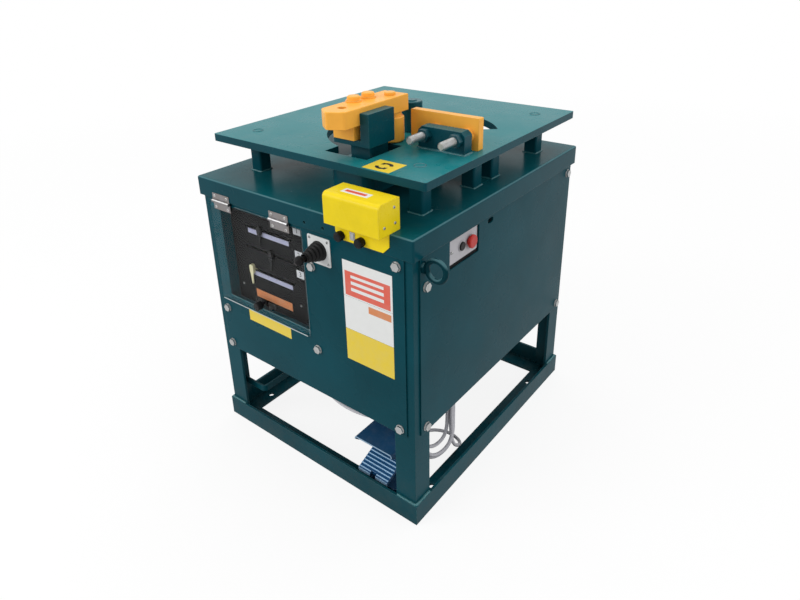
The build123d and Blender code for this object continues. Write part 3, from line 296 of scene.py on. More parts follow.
# roughness added where each of these is full
LINES_DULL, STAINS_DULL, SMEARS_DULL, FILM_DULL, BARE_DULL, PRINT_DULL = 0.16, 0.35, 0.14, 0.5, 0.2, 0.3


def node_group(fill, kind="ShaderNodeTree", **inputs):
    """A node group with inputs of the given socket kinds, and the outputs that fill gives for them."""
    tree = bpy.data.node_groups.new(fill.__name__, kind)
    for name, socket in inputs.items():
        tree.interface.new_socket(name, in_out="INPUT", socket_type=socket)
    graph = Graph(tree)
    made = fill(graph, graph.add("NodeGroupInput").outputs)
    for name, value in made.items():
        tree.interface.new_socket(name, in_out="OUTPUT", socket_type=OUTPUTS[value.type])
    graph.add("NodeGroupOutput", made)
    return tree


def edge_wear_and_highlight(graph, given):
    """Where a sharp edge is, in patches of paint wear over a floor that gives every edge a painted highlight
    line, and the normal of the slightly rounded edge.
    """
    rounded = graph.get("ShaderNodeBevel", {"Radius": given["Radius"]}, samples=6)
    turn = graph.get("ShaderNodeVectorMath", {0: rounded, 1: graph.normal()}, "Value", operation="DOT_PRODUCT")
    patches = graph.patches("rubbed_edge", EDGE_HIGHLIGHT_FLOOR)
    return {"Mask": graph.times(graph.span(turn, *SHARP_EDGE), patches, given["Amount"]), "Normal": rounded}


def weathering(graph, given):
    """Paint that is a little uneven, lighter on what faces up as a painted reflection, dusty there too, and
    dirty near the floor.
    """
    level = graph.math("MULTIPLY_ADD", graph.patches("uneven_paint", -1.0), MOTTLE, 1.0)
    shade = graph.get("ShaderNodeVectorMath", {0: given["Colour"], "Scale": level}, operation="SCALE")
    lying = graph.span(graph.part(graph.normal(), "Z"), *LYING)
    # fade: share of the lighter teal on faces that look up, a painted reflection
    fade = graph.times(lying, graph.patches("top_reflection", LEAST_TOP_REFLECTION), given["Fade"], clamp=True)
    dust = graph.times(lying, graph.patches("dust"), given["Dust"], clamp=True)
    low = graph.span(graph.part(graph.place(), "Z"), DIRT_HEIGHT, 0.0)
    dirt = graph.times(low, graph.patches("splash"), given["Dirt"], clamp=True)
    dust_and_reflection = graph.mix(dust, graph.mix(fade, shade, given["Faded"]), DUST)
    return {"Colour": graph.mix(dirt, dust_and_reflection, DIRT), "Film": graph.math("ADD", dust, dirt, clamp=True)}


def scuffs(graph, given):
    """Fine scratches that run both ways over a worked surface."""
    one = graph.patches("scratches_along", stretch=ALONG)
    other = graph.patches("scratches_across", stretch=ACROSS)
    where = graph.patches("scuffed_area")
    return {"Mask": graph.times(graph.math("MAXIMUM", one, other), where, given["Amount"])}


def brushed(graph, given):
    """Bare metal: fine drawn lines, and stains that dull it."""
    lines = graph.noise(*DRAWN_LINES, stretch=DRAWN)
    dull = graph.times(graph.patches("stains"), given["Tarnish"])
    rough = graph.math("MULTIPLY_ADD", lines, LINES_DULL, given["Dullness"])
    return {
        "Colour": graph.mix(dull, given["Colour"], STAIN),
        "Roughness": graph.math("MULTIPLY_ADD", dull, STAINS_DULL, rough),
        "Height": lines,
    }


def moulded(graph, given):
    """Plastic or rubber: a fine grain, faint smears and a paler bloom."""
    smear = graph.patches("smears")
    return {
        "Colour": graph.mix(graph.times(smear, given["Bloom"]), given["Colour"], BLOOM),
        "Roughness": graph.math("MULTIPLY_ADD", smear, SMEARS_DULL, given["Dullness"]),
        "Height": graph.noise(given["Grain"], FINE_DETAIL),
    }


EDGE_WEAR_AND_HIGHLIGHT = node_group(edge_wear_and_highlight, Radius=NUMBER, Amount=NUMBER)
WEATHERING = node_group(weathering, Colour=COLOUR, Faded=COLOUR, Fade=NUMBER, Dust=NUMBER, Dirt=NUMBER)
SCUFFS = node_group(scuffs, Amount=NUMBER)
BRUSHED = node_group(brushed, Colour=COLOUR, Tarnish=NUMBER, Dullness=NUMBER)
MOULDED = node_group(moulded, Colour=COLOUR, Bloom=NUMBER, Grain=NUMBER, Dullness=NUMBER)


# Materials

TEAL = (0.002, 0.058, 0.078)
# lighter teal for paint wear and for the painted highlights on edges and folds
TEAL_WEAR_AND_HIGHLIGHT = (0.12, 0.27, 0.30)
# lighter teal painted on faces that look up: a painted reflection
TEAL_TOP_REFLECTION = (0.01, 0.205, 0.225, 1.0)
ORANGE = (0.98, 0.465, 0.068)
YELLOW = (0.98, 0.745, 0.012)
# the lighter blues stand for paint wear and for painted highlights
FOOT, FOOT_WEAR_AND_HIGHLIGHT = (0.016, 0.075, 0.17), (0.34, 0.5, 0.66)
PEDAL, PEDAL_WEAR_AND_HIGHLIGHT = (0.008, 0.075, 0.2), (0.42, 0.68, 0.95)
PRIMER = (0.25, 0.26, 0.26)
HIGHLIGHT_WHITE = (0.95, 0.96, 0.97)
PRINT_FADED = (0.55, 0.55, 0.5, 1.0)
SHEET = (0.93, 0.95, 0.95, 1.0)
SMEAR = (0.75, 0.78, 0.78, 1.0)
SMEAR_MOST = 0.05
SMEAR_STRETCH = (1.0, 1.0, 3.0)
SHEET_IOR = 1.1
SHEEN = (-0.04, 0.07)
PEEL_SCALE = 420.0
PAINT_EDGE, METAL_EDGE, MOULD_EDGE = 1.5 * MM, 0.6 * MM, 0.8 * MM
PAINT_RELIEF, METAL_RELIEF = (0.06, 0.6 * MM), (0.08, 0.3 * MM)
MOULD_DEPTH = 0.2 * MM
BOLT_PAINT_FROM = 655.0 * MM
PEDAL_FRONT_Z = 40.0 * MM
PEDAL_SLOPE = 46.0 / 112.0
# ramp of the hood and pedal masks for painted highlights and wear
MASK_RAMP = (0.4 * MM, 0.9 * MM)
# painted highlight on rounded edges that look upwards: where it starts, where it fades out, and its share
FOLD_FROM = (0.3, 0.6)
FOLD_TO = (0.99, 0.93)
FOLD_SHARE = 0.55


def relief(graph, shader, edge, height, strength, depth):
    """Fine relief over the rounded edges."""
    inputs = {"Strength": strength, "Distance": depth, "Height": height, "Normal": edge["Normal"]}
    graph.feed(shader["Normal"], graph.get("ShaderNodeBump", inputs))


def front_lip(graph, node):
    """1 on a node's front face."""
    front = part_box(node)[0].y
    return graph.span(graph.part(graph.place(), "Y"), *(front + depth for depth in MASK_RAMP), 1.0, 0.0)


def highlight_on_folds(graph):
    """A painted highlight mask on rounded edges that look upwards."""
    up = graph.part(graph.normal(), "Z")
    return graph.times(graph.span(up, *FOLD_FROM), graph.span(up, *FOLD_TO), FOLD_SHARE)


def hood_lip_highlight(graph):
    """A painted highlight on the hood's front edge: 1 there."""
    return front_lip(graph, "foot_hood")


def pedal_rib_highlight_and_worn_lip(graph):
    """A painted highlight on what stands above the pedal's sloping face, and paint wear on its front face: 1
    on both.
    """
    place = graph.place()
    level = PEDAL_FRONT_Z - PEDAL_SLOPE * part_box("foot_pedal")[0].y
    height = graph.math("MULTIPLY_ADD", graph.part(place, "Y"), -PEDAL_SLOPE, graph.part(place, "Z"))
    ribs = graph.span(height, *(level + depth for depth in MASK_RAMP))
    return graph.math("MAXIMUM", ribs, front_lip(graph, "foot_pedal"))


# fade: share of the painted reflection on faces that look up
def enamel(name, paint, wear_and_highlight_colour, wear, dust, scuffed, rough, gloss=0.14, dirt=0.3, fade=0.0, highlight_and_wear_mask=None):
    """Gloss enamel over steel, with paint wear and painted highlights at the edges and where a mask says, and
    a painted reflection on faces that look up.
    """
    material, graph, shader = blank_material(name)
    edge = graph.use(EDGE_WEAR_AND_HIGHLIGHT, Radius=PAINT_EDGE, Amount=wear)
    coat = graph.use(WEATHERING, Colour=rgba(paint), Faded=TEAL_TOP_REFLECTION, Fade=fade, Dust=dust, Dirt=dirt)
    scratches = graph.use(SCUFFS, Amount=scuffed)["Mask"]
    # bare: paint wear, scratches and painted highlights, shown in the lighter colour
    bare = graph.math("MAXIMUM", edge["Mask"], scratches, clamp=True)
    if highlight_and_wear_mask:
        bare = graph.math("MAXIMUM", bare, highlight_and_wear_mask(graph))
    graph.feed(shader["Base Color"], graph.mix(bare, coat["Colour"], rgba(wear_and_highlight_colour)))
    uneven = graph.patches("sheen", *(rough + change for change in SHEEN))
    dulled = graph.math("MULTIPLY_ADD", coat["Film"], FILM_DULL, uneven)
    graph.feed(shader["Roughness"], graph.math("MULTIPLY_ADD", bare, BARE_DULL, dulled, clamp=True))
    relief(graph, shader, edge, graph.noise(PEEL_SCALE, FINE_DETAIL), *PAINT_RELIEF)
    shader["Specular IOR Level"].default_value = gloss
    return material


def metal(name, colour, tarnish, dull, painted_from=None, lit=None):
    """Bare or plated steel, painted above a height, and with a painted highlight on rounded tops where that is
    asked for.
    """
    material, graph, shader = blank_material(name)
    face = graph.use(BRUSHED, Colour=rgba(colour), Tarnish=tarnish, Dullness=dull)
    edge = graph.use(EDGE_WEAR_AND_HIGHLIGHT, Radius=METAL_EDGE, Amount=0.0)
    relief(graph, shader, edge, face["Height"], *METAL_RELIEF)
    graph.feed(shader["Roughness"], face["Roughness"])
    # painted highlight on rounded tops that look up
    plating_and_any_highlight = graph.mix(highlight_on_folds(graph), face["Colour"], rgba(lit)) if lit else face["Colour"]
    if painted_from is None:
        graph.feed(shader["Base Color"], plating_and_any_highlight)
        shader["Metallic"].default_value = 1.0
        return material
    bare = graph.math("LESS_THAN", graph.part(graph.place(), "Z"), painted_from)
    graph.feed(shader["Base Color"], graph.mix(bare, rgba(TEAL), plating_and_any_highlight))
    graph.feed(shader["Metallic"], bare)
    return material


def moulding(name, colour, bloom, dull, grain=1400.0, strength=0.12, gloss=0.25):
    """Plastic or rubber with a fine grain."""
    material, graph, shader = blank_material(name)
    face = graph.use(MOULDED, Colour=rgba(colour), Bloom=bloom, Dullness=dull, Grain=grain)
    edge = graph.use(EDGE_WEAR_AND_HIGHLIGHT, Radius=MOULD_EDGE, Amount=0.0)
    graph.feed(shader["Base Color"], face["Colour"])
    graph.feed(shader["Roughness"], face["Roughness"])
    relief(graph, shader, edge, face["Height"], strength, MOULD_DEPTH)
    shader["Specular IOR Level"].default_value = gloss
    return material


def film(name, colour, fade=0.12, dull=0.36):
    """A printed label: an even colour that has faded in patches."""
    material, graph, shader = blank_material(name)
    patches = graph.patches("faded_print", 0.0, fade)
    graph.feed(shader["Base Color"], graph.mix(patches, rgba(colour), PRINT_FADED))
    graph.feed(shader["Roughness"], graph.span(patches, 0.0, 1.0, dull, dull + PRINT_DULL))
    return material


def clear_sheet(name):
    """A clear plastic sheet with faint smears."""
    material, graph, shader = blank_material(name)
    smear = graph.patches("smeared_sheet", 0.0, SMEAR_MOST, SMEAR_STRETCH)
    graph.feed(shader["Base Color"], graph.mix(smear, SHEET, SMEAR))
    graph.feed(shader["Roughness"], smear)
    shader["Transmission Weight"].default_value = 1.0
    shader["IOR"].default_value = SHEET_IOR
    return material


ENAMELS = {
    # name: paint, colour of paint wear and painted highlights, wear, dust, scuffs, roughness, where they
    # differ gloss, dirt, share of painted reflection on top, mask of painted highlight and wear
    "cabinet_teal": (TEAL, TEAL_WEAR_AND_HIGHLIGHT, 0.35, 0.06, 0.08, 0.27, 0.05),
    "table_teal": (TEAL, TEAL_WEAR_AND_HIGHLIGHT, 0.6, 0.08, 0.4, 0.26, 0.08, 0.3, 1.0),
    # the lid's folded edges carry a painted highlight
    "lid_teal": (TEAL, TEAL_WEAR_AND_HIGHLIGHT, 0.5, 0.02, 0.12, 0.22, 0.06, 0.3, 0.25, highlight_on_folds),
    "head_teal": (TEAL, TEAL_WEAR_AND_HIGHLIGHT, 0.7, 0.04, 0.25, 0.24, 0.12, 0.3, 0.4),
    # lifting eye: darker than the cabinet's teal as painted shade, with painted highlights on its upper curves
    "eye_teal": ((0.001, 0.034, 0.046), TEAL_WEAR_AND_HIGHLIGHT, 0.0, 0.0, 0.0, 0.2, 0.04, 0.3, 0.0, highlight_on_folds),
    # lighter teal strip on the window opening's lip: a painted highlight
    "lip_teal": ((0.09, 0.22, 0.25), TEAL_WEAR_AND_HIGHLIGHT, 0.8, 0.1, 0.2, 0.27),
    "base_teal": (TEAL, TEAL_WEAR_AND_HIGHLIGHT, 0.8, 0.05, 0.2, 0.28, 0.05, 0.2),
    # weld beads in a lighter teal than the paint: a painted highlight
    "weld": ((0.022, 0.15, 0.17), TEAL_WEAR_AND_HIGHLIGHT, 0.8, 0.1, 0.0, 0.2, 0.5),
    "head_orange": (ORANGE, (0.35, 0.28, 0.2), 0.45, 0.05, 0.25, 0.3),
    "cover_yellow": (YELLOW, (0.75, 0.6, 0.2), 0.25, 0.04, 0.1, 0.27),
    # hood: a painted highlight along its front edge
    "foot_blue": (FOOT, FOOT_WEAR_AND_HIGHLIGHT, 1.0, 0.08, 0.12, 0.36, 0.14, 0.1, 0.0, hood_lip_highlight),
    # pedal: painted highlights on its rib tops, and paint wear on its front face
    "pedal_blue": (PEDAL, PEDAL_WEAR_AND_HIGHLIGHT, 1.0, 0.02, 0.12, 0.4, 0.14, 0.05, 0.0, pedal_rib_highlight_and_worn_lip),
    "motor_grey": ((0.16, 0.18, 0.19), PRIMER, 0.3, 0.3, 0.12, 0.42),
    "gear_green": ((0.05, 0.11, 0.11), PRIMER, 0.3, 0.3, 0.12, 0.45),
    "box_grey": ((0.42, 0.43, 0.42), PRIMER, 0.2, 0.15, 0.12, 0.45),
}
METALS = {
    # name: colour, tarnish, roughness, and where it has them height of the paint's edge, colour of the painted
    # highlight on rounded tops
    "zinc": ((0.42, 0.43, 0.43), 0.4, 0.3),
    # hinge knuckles and bolt heads carry a painted highlight on their upper curves
    "hinge_zinc": ((0.25, 0.24, 0.245), 0.5, 0.34, None, HIGHLIGHT_WHITE),
    "bolt_zinc": ((0.44, 0.45, 0.45), 0.35, 0.28, BOLT_PAINT_FROM, HIGHLIGHT_WHITE),
    "bright_steel": ((0.62, 0.62, 0.61), 0.35, 0.26),
}
MOULDINGS = {
    # name: colour, bloom, roughness, and where they differ scale and strength of the grain, gloss
    "black_plastic": ((0.007, 0.007, 0.008), 0.02, 0.22, 1400.0, 0.12, 0.12),
    "dial_black": ((0.010, 0.010, 0.011), 0.006, 0.5, 700.0, 0.12, 0.06),
    "pale_plate": ((0.76, 0.78, 0.78), 0.1, 0.32, 1400.0, 0.04),
    "switch_grey": ((0.5, 0.49, 0.52), 0.12, 0.4, 1400.0, 0.04),
    "cream": ((0.74, 0.68, 0.42), 0.08, 0.38),
    "red": ((0.5, 0.02, 0.015), 0.04, 0.26),
    "rubber": ((0.008, 0.008, 0.009), 0.02, 0.36, 900.0, 0.2, 0.12),
    "jacket": ((0.55, 0.55, 0.59), 0.1, 0.46, 1100.0),
}
FILMS = {
    # name: colour, and where they differ fading, roughness
    "print_white": ((0.86, 0.87, 0.86), 0.08),
    "print_grey": ((0.6, 0.6, 0.63), 0.1),
    "print_lilac": ((0.4, 0.4, 0.56), 0.15),
    "print_red": ((0.78, 0.105, 0.06),),
    "print_orange": ((0.72, 0.24, 0.075), 0.2, 0.5),
    "print_yellow": ((0.85, 0.63, 0.03),),
    "print_black": ((0.012, 0.012, 0.012), 0.04),
    # a pale strip on the door sheet's lower edge: a painted highlight
    "frosted_edge": ((0.55, 0.64, 0.66), 0.3, 0.5),
}
FINISHES = {
    name: make(name, *values)
    for make, table in ((enamel, ENAMELS), (metal, METALS), (moulding, MOULDINGS), (film, FILMS))
    for name, values in table.items()
}
FINISHES["window"] = clear_sheet("window")

NODE_FINISH = {
    "table_teal": "table",
    "lid_teal": "lid",
    "head_teal": "centre_pin centre_roll crank_arm fence_bracket head_saddle",
    "eye_teal": "lifting_eye",
    "base_teal": "base_rail_front base_rail_rear base_rail_left base_rail_right storage_bar",
    "head_orange": "arm_riser bend_arm arm_bolts bend_roll roll_pin fence",
    "cover_yellow": "switch_cover cover_end",
    "foot_blue": "foot_base foot_hood",
    "pedal_blue": "foot_pedal",
    "motor_grey": "motor motor_cowl",
    "gear_green": "gear_reducer",
    "box_grey": "control_box",
    "bolt_zinc": "hex_bolts",
    "hinge_zinc": "hinge_door_leaves hinge_frame_leaves",
    "zinc": "fence_bolts lead_hook",
    "bright_steel": "output_shaft",
    "black_plastic": (
        "cord_glands cover_knobs door_latch lever_stick lever_switch setting_dog_1 setting_dog_2 "
        "start_button switch_box"
    ),
    "dial_black": "dial_panel",
    "window": "window_door",
    "pale_plate": "lever_plate",
    "switch_grey": "switch_face",
    "cream": "setting_dog_3",
    "red": "stop_button",
    "rubber": "lever_boot",
    "jacket": "lead_run lead_tail lead_hank",
}


def paint_nodes():
    """Every CAD node gets its finish, and the cabinet's enamel where none is named."""
    finish_of = {node: finish for finish, nodes in NODE_FINISH.items() for node in nodes.split()}
    for name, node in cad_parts.items():
        finish = FINISHES[finish_of.get(name, "cabinet_teal")]
        for slot in node.material_slots:
            slot.material = finish


paint_nodes()


# Meshes

MERGED = 1e-7
LABEL_FILM = 0.25
PLANES = {
    # face: directions of a, of b and out of the face
    "front": ((1, 0, 0), (0, 0, 1), (0, -1, 0)),
    "top": ((1, 0, 0), (0, 1, 0), (0, 0, 1)),
    "right": ((0, 1, 0), (0, 0, 1), (1, 0, 0)),
}

# Faces that the labels and fittings sit on, as heights along their outward directions
FRONT_FACE = -box_mm("front_panel")[0][Y]
DIAL_FACE = -box_mm("dial_panel")[0][Y]
TABLE_FACE = box_mm("table")[1][Z]
COVER_TOP = box_mm("switch_cover")[1][Z]
APRON_FACE = 337.0


def finish_piece(name, bm, materials, body="cabinet", smooth=False):
    """A mesh piece at the origin that rides on a body, if one is named."""
    bmesh.ops.remove_doubles(bm, verts=bm.verts, dist=MERGED)
    bmesh.ops.recalc_face_normals(bm, faces=bm.faces)
    mesh = bpy.data.meshes.new(name)
    bm.to_mesh(mesh)
    bm.free()
    for material in materials:
        mesh.materials.append(FINISHES[material])
    for face in mesh.polygons:
        face.use_smooth = smooth
    made = new_object(name, mesh)
    if body:
        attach(made, body)
    return made


def face_point(plane, a, b, level):
    """A point given by its two places on a face and its height along the face's outward direction."""
    along, across, out = map(Vector, PLANES[plane])
    return along * a + across * b + out * level


def prism(bm, plane, outline, level, thick, material=0):
    """A flat shape with any outline on a face of the machine."""
    low = [bm.verts.new(face_point(plane, a, b, level) * MM) for a, b in outline]
    high = [bm.verts.new(face_point(plane, a, b, level + thick) * MM) for a, b in outline]
    bm.faces.new(low).material_index = material
    bm.faces.new(high).material_index = material
    count = len(outline)
    for i in range(count):
        j = (i + 1) % count
        bm.faces.new((low[i], low[j], high[j], high[i])).material_index = material


def tile(bm, plane, a0, a1, b0, b1, level, thick=LABEL_FILM, material=0):
    """A thin flat tile on a face of the machine."""
    prism(bm, plane, ((a0, b0), (a1, b0), (a1, b1), (a0, b1)), level, thick, material)


def tiles(name, plane, materials, rows, body="cabinet"):
    """A piece of tiles: rows of (a0, a1, b0, b1, level, thickness, number of the material)."""
    bm = bmesh.new()
    for row in rows:
        tile(bm, plane, *row)
    finish_piece(name, bm, materials, body)


def turned_shape(bm, origin, axis, profile, segments=48):
    """Rings round an axis, joined up: profile is (radius, height) along the axis."""
    axis = Vector(axis).normalized()
    side = axis.orthogonal().normalized()
    other = axis.cross(side)
    turn = [math.tau * k / segments for k in range(segments)]
    rings = []
    for radius, height in profile:
        centre = Vector(origin) + axis * height
        rings.append(
            [bm.verts.new((centre + (side * math.cos(t) + other * math.sin(t)) * radius) * MM) for t in turn]
        )
    for low, high in zip(rings, rings[1:]):
        for k in range(segments):
            n = (k + 1) % segments
            bm.faces.new((low[k], low[n], high[n], high[k]))


# The foot switch's lead: out of the control box, four turns over the hook, along the floor to the switch
CORD_ACROSS = 8.0
LEAD_RUN = (
    (-20.0, -265.0, 340.0), (-20.0, -265.0, 300.0), (-12.0, -278.0, 256.0), (14.0, -300.0, 222.0),
    (62.0, -316.0, 205.0), (118.0, -318.0, 201.0), (170.0, -310.0, 204.0), (208.0, -290.0, 210.0),
    (234.0, -262.0, 226.0), (243.5, -234.0, 258.0),
)
LEAD_TAIL = (
    (266.5, -156.0, 100.0), (268.0, -146.0, 62.0), (264.0, -112.0, 34.0), (243.0, -80.0, 14.0),
    (208.0, -66.0, 8.0), (177.0, -82.0, 14.0), (162.5, -120.0, 27.0), (162.5, -154.0, 27.0),
)
HANK_CENTRE = (255.0, -193.0)
HANK_TURNED = math.radians(73.0)
HANK_TOP = 250.0
HANK_FOOT = 105.0
HANK_SIDE = (210.0, 148.0)
HANK_ANGLES = (180, 135, 90, 45, 0)
HANK_TURNS = (
    # radius over the hook, radius and drop of the loop below, sideways place above and below
    (33.0, 38.0, 0.0, -4.5, -6.0),
    (33.0, 33.0, -9.0, 4.5, 8.0),
    (41.0, 44.0, 3.0, -4.5, -1.5),
    (40.0, 40.0, 0.0, 4.5, 3.0),
)


def hank_points():
    """Control points of the loose turns: over the hook to the rear, down, under and up again in front."""
    across = Vector((math.cos(HANK_TURNED), math.sin(HANK_TURNED), 0.0))
    through = Vector((-math.sin(HANK_TURNED), math.cos(HANK_TURNED), 0.0))
    middle = Vector((*HANK_CENTRE, 0.0))

    def at(out, height, sideways):
        return middle + across * out + through * sideways + Vector((0.0, 0.0, height))

    def arc(radius, level, way, sideways):
        turn = [math.radians(angle) for angle in HANK_ANGLES[::way]]
        return [at(radius * math.cos(t), level + way * radius * math.sin(t), sideways) for t in turn]

    points = []
    for top_r, foot_r, drop, above, below in HANK_TURNS:
        beside, half = (top_r + foot_r) / 2, (above + below) / 2
        points += arc(top_r, HANK_TOP, 1, above)
        points += [at(beside, height, half) for height in HANK_SIDE]
        last = len(points)
        points += arc(foot_r, HANK_FOOT - drop, -1, below)
        points += [at(-beside, height, half) for height in reversed(HANK_SIDE)]
    return points[1:last]


def make_lead():
    """One open spline for the whole lead."""
    points = [Vector(p) for p in LEAD_RUN] + hank_points() + [Vector(p) for p in LEAD_TAIL]
    curve = bpy.data.curves.new("foot_lead", "CURVE")
    curve.dimensions = "3D"
    curve.bevel_depth = CORD_ACROSS / 2 * MM
    curve.bevel_resolution = 4
    curve.resolution_u = 8
    curve.use_fill_caps = True
    spline = curve.splines.new("NURBS")
    spline.points.add(len(points) - 1)
    for knot, point in zip(spline.points, points):
        knot.co = (*(point * MM), 1.0)
    spline.order_u = 3
    spline.use_endpoint_u = True
    curve.materials.append(FINISHES["jacket"])
    lead = new_object("foot_lead", curve)
    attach(lead, "cabinet")
    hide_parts("lead_run", "lead_hank", "lead_tail")


make_lead()


# Repeats, by Geometry Nodes

HEAD_TOP = 0.72
RECESS_LONG, RECESS_WIDE, RECESS_THICK = 1.05, 0.26, 0.06


def repeat_tree(fill, **inputs):
    """A Geometry Nodes tree with named inputs."""
    return node_group(fill, "GeometryNodeTree", Host=OUTPUTS["GEOMETRY"], **inputs)


def live_output(node):
    """The output that is in use on a node of several data types."""
    return next(socket for socket in node.outputs if socket.enabled)


def aligned(graph, direction, axis):
    """The turn that brings a shape's axis to a direction."""
    return graph.get("FunctionNodeAlignRotationToVector", {"Vector": direction}, axis=axis)


def facing_turn(graph):
    """The turn that brings a shape's Z to the host point's own direction."""
    facing = graph.get("GeometryNodeInputNamedAttribute", {"Name": "facing"}, data_type="FLOAT_VECTOR")
    return aligned(graph, facing, "Z")


def joined(graph, shapes):
    """Several shapes as one."""
    join = graph.add("GeometryNodeJoinGeometry")
    for shape in shapes:
        graph.feed(join.inputs[0], shape)
    return join.outputs[0]


def lifted(graph, shape, height):
    """A shape moved up its own axis."""
    lift = graph.get("ShaderNodeCombineXYZ", {2: height})
    return graph.get("GeometryNodeTransform", {"Geometry": shape, "Translation": lift})


def along_edges(graph, given, axis):
    """Points at an even pitch along the host's edges, and the turn that brings a shape's axis to the edge."""
    line = graph.get("GeometryNodeMeshToCurve", {"Mesh": given["Host"]})
    steps = graph.get("GeometryNodeResampleCurve", {"Curve": line, "Length": given["Pitch"]}, mode="LENGTH")
    return steps, aligned(graph, graph.get("GeometryNodeInputTangent"), axis)


def copies(graph, points, turn, shape, finish, **scale):
    """Real copies of a shape at points, in one finish."""
    inputs = {"Points": points, "Instance": shape, "Rotation": turn, **scale}
    real = graph.get("GeometryNodeRealizeInstances", {0: graph.get("GeometryNodeInstanceOnPoints", inputs)})
    return graph.get("GeometryNodeSetMaterial", {"Geometry": real, "Material": finish})


def pan_head_screws(graph, given):
    """A pan head with a crossed recess at every host point, turned to the point's own direction."""
    radius, height = given["Radius"], given["Height"]
    top = graph.times(radius, HEAD_TOP)
    sizes = {"Vertices": 20, "Radius Bottom": radius, "Radius Top": top, "Depth": height}
    head = graph.get("GeometryNodeMeshCone", sizes)
    long_side, short_side = graph.times(radius, RECESS_LONG), graph.times(radius, RECESS_WIDE)
    thin = graph.times(height, RECESS_THICK)
    bars = []
    for x, y in ((long_side, short_side), (short_side, long_side)):
        size = graph.get("ShaderNodeCombineXYZ", {0: x, 1: y, 2: thin})
        bars.append(graph.get("GeometryNodeMeshCube", {"Size": size}))
    marked = graph.get(
        "GeometryNodeStoreNamedAttribute",
        {"Geometry": lifted(graph, joined(graph, bars), height), "Name": "recess", "Value": True},
        data_type="BOOLEAN",
        domain="FACE",
    )
    twist = graph.add("FunctionNodeRandomValue", {"Min": 0.0, "Max": 1.5, "Seed": 5}, data_type="FLOAT")
    spin = graph.get("FunctionNodeAxisAngleToRotation", {"Axis": (0.0, 0.0, 1.0), "Angle": live_output(twist)})
    turns = {"Rotation": facing_turn(graph), "Rotate By": spin}
    turn = graph.get("FunctionNodeRotateRotation", turns, rotation_space="LOCAL")
    heads = copies(graph, given["Host"], turn, joined(graph, (marked, head)), given["Finish"])
    recess = graph.add("GeometryNodeInputNamedAttribute", {"Name": "recess"}, data_type="BOOLEAN")
    inputs = {"Geometry": heads, "Selection": live_output(recess), "Material": given["Recess"]}
    return {"Geometry": graph.get("GeometryNodeSetMaterial", inputs)}


def flat_washers(graph, given):
    """A flat washer at every host point, turned to the point's own direction."""
    thick = given["Thickness"]
    disc = graph.get("GeometryNodeMeshCylinder", {"Vertices": 36, "Radius": given["Radius"], "Depth": thick})
    seated = lifted(graph, disc, graph.times(thick, 0.5))
    return {"Geometry": copies(graph, given["Host"], facing_turn(graph), seated, given["Finish"])}


def weld_beads(graph, given):
    """Overlapping ripples along the host's edges."""
    ripple = graph.get("GeometryNodeMeshIcoSphere", {"Radius": given["Radius"], "Subdivisions": 2})
    sizes = graph.add(
        "FunctionNodeRandomValue",
        {"Min": (0.7, 0.85, 0.85), "Max": (0.95, 1.15, 1.15), "Seed": 3},
        data_type="FLOAT_VECTOR",
    )
    steps = along_edges(graph, given, "X")
    return {"Geometry": copies(graph, *steps, ripple, given["Finish"], Scale=live_output(sizes))}


def thread_rings(graph, given):
    """Equal rings along the host's edges."""
    circle, ridge = (
        graph.get("GeometryNodeCurvePrimitiveCircle", {"Resolution": sides, "Radius": given[radius]})
        for sides, radius in ((28, "Radius"), (4, "Ridge"))
    )
    ring = graph.get("GeometryNodeCurveToMesh", {"Curve": circle, "Profile Curve": ridge})
    return {"Geometry": copies(graph, *along_edges(graph, given, "Z"), ring, given["Finish"])}


SCREWS = repeat_tree(pan_head_screws, Radius=NUMBER, Height=NUMBER, Finish=MATERIAL, Recess=MATERIAL)
WASHERS = repeat_tree(flat_washers, Radius=NUMBER, Thickness=NUMBER, Finish=MATERIAL)
BEADS = repeat_tree(weld_beads, Radius=NUMBER, Pitch=NUMBER, Finish=MATERIAL)
RINGS = repeat_tree(thread_rings, Radius=NUMBER, Ridge=NUMBER, Pitch=NUMBER, Finish=MATERIAL)


def repeat(name, tree, points, edges=(), facings=None, body="cabinet", **settings):
    """Runs a tree on host points or edges, with sizes and names of finishes, and keeps a plain mesh."""
    mesh = bpy.data.meshes.new(name)
    mesh.from_pydata([Vector(p) * MM for p in points], list(edges), [])
    if facings:
        facing = mesh.attributes.new("facing", "FLOAT_VECTOR", "POINT")
        for spot, direction in zip(facing.data, facings):
            spot.vector = direction
    host = new_object(name, mesh)
    modifier = host.modifiers.new("repeat", "NODES")
    modifier.node_group = tree
    for item in tree.interface.items_tree:
        if item.in_out == "INPUT" and item.name in settings:
            value = settings[item.name]
            modifier[item.identifier] = FINISHES[value] if isinstance(value, str) else value * MM
    bpy.context.view_layer.update()
    evaluated = host.evaluated_get(bpy.context.evaluated_depsgraph_get())
    host.data = bpy.data.meshes.new_from_object(evaluated)
    host.data.name = name
    host.modifiers.clear()
    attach(host, body)


def repeat_on_faces(name, tree, spots, **settings):
    """Runs a tree at spots: (point, outward direction)."""
    points, facings = zip(*spots)
    repeat(name, tree, points, facings=facings, **settings)


def repeat_along(name, tree, lines, **settings):
    """Runs a tree along open or closed runs of points."""
    points, edges = [], []
    for line in lines:
        edges.extend((len(points) + k, len(points) + k + 1) for k in range(len(line) - 1))
        points.extend(line)
    repeat(name, tree, points, edges, **settings)


# Fasteners and welds

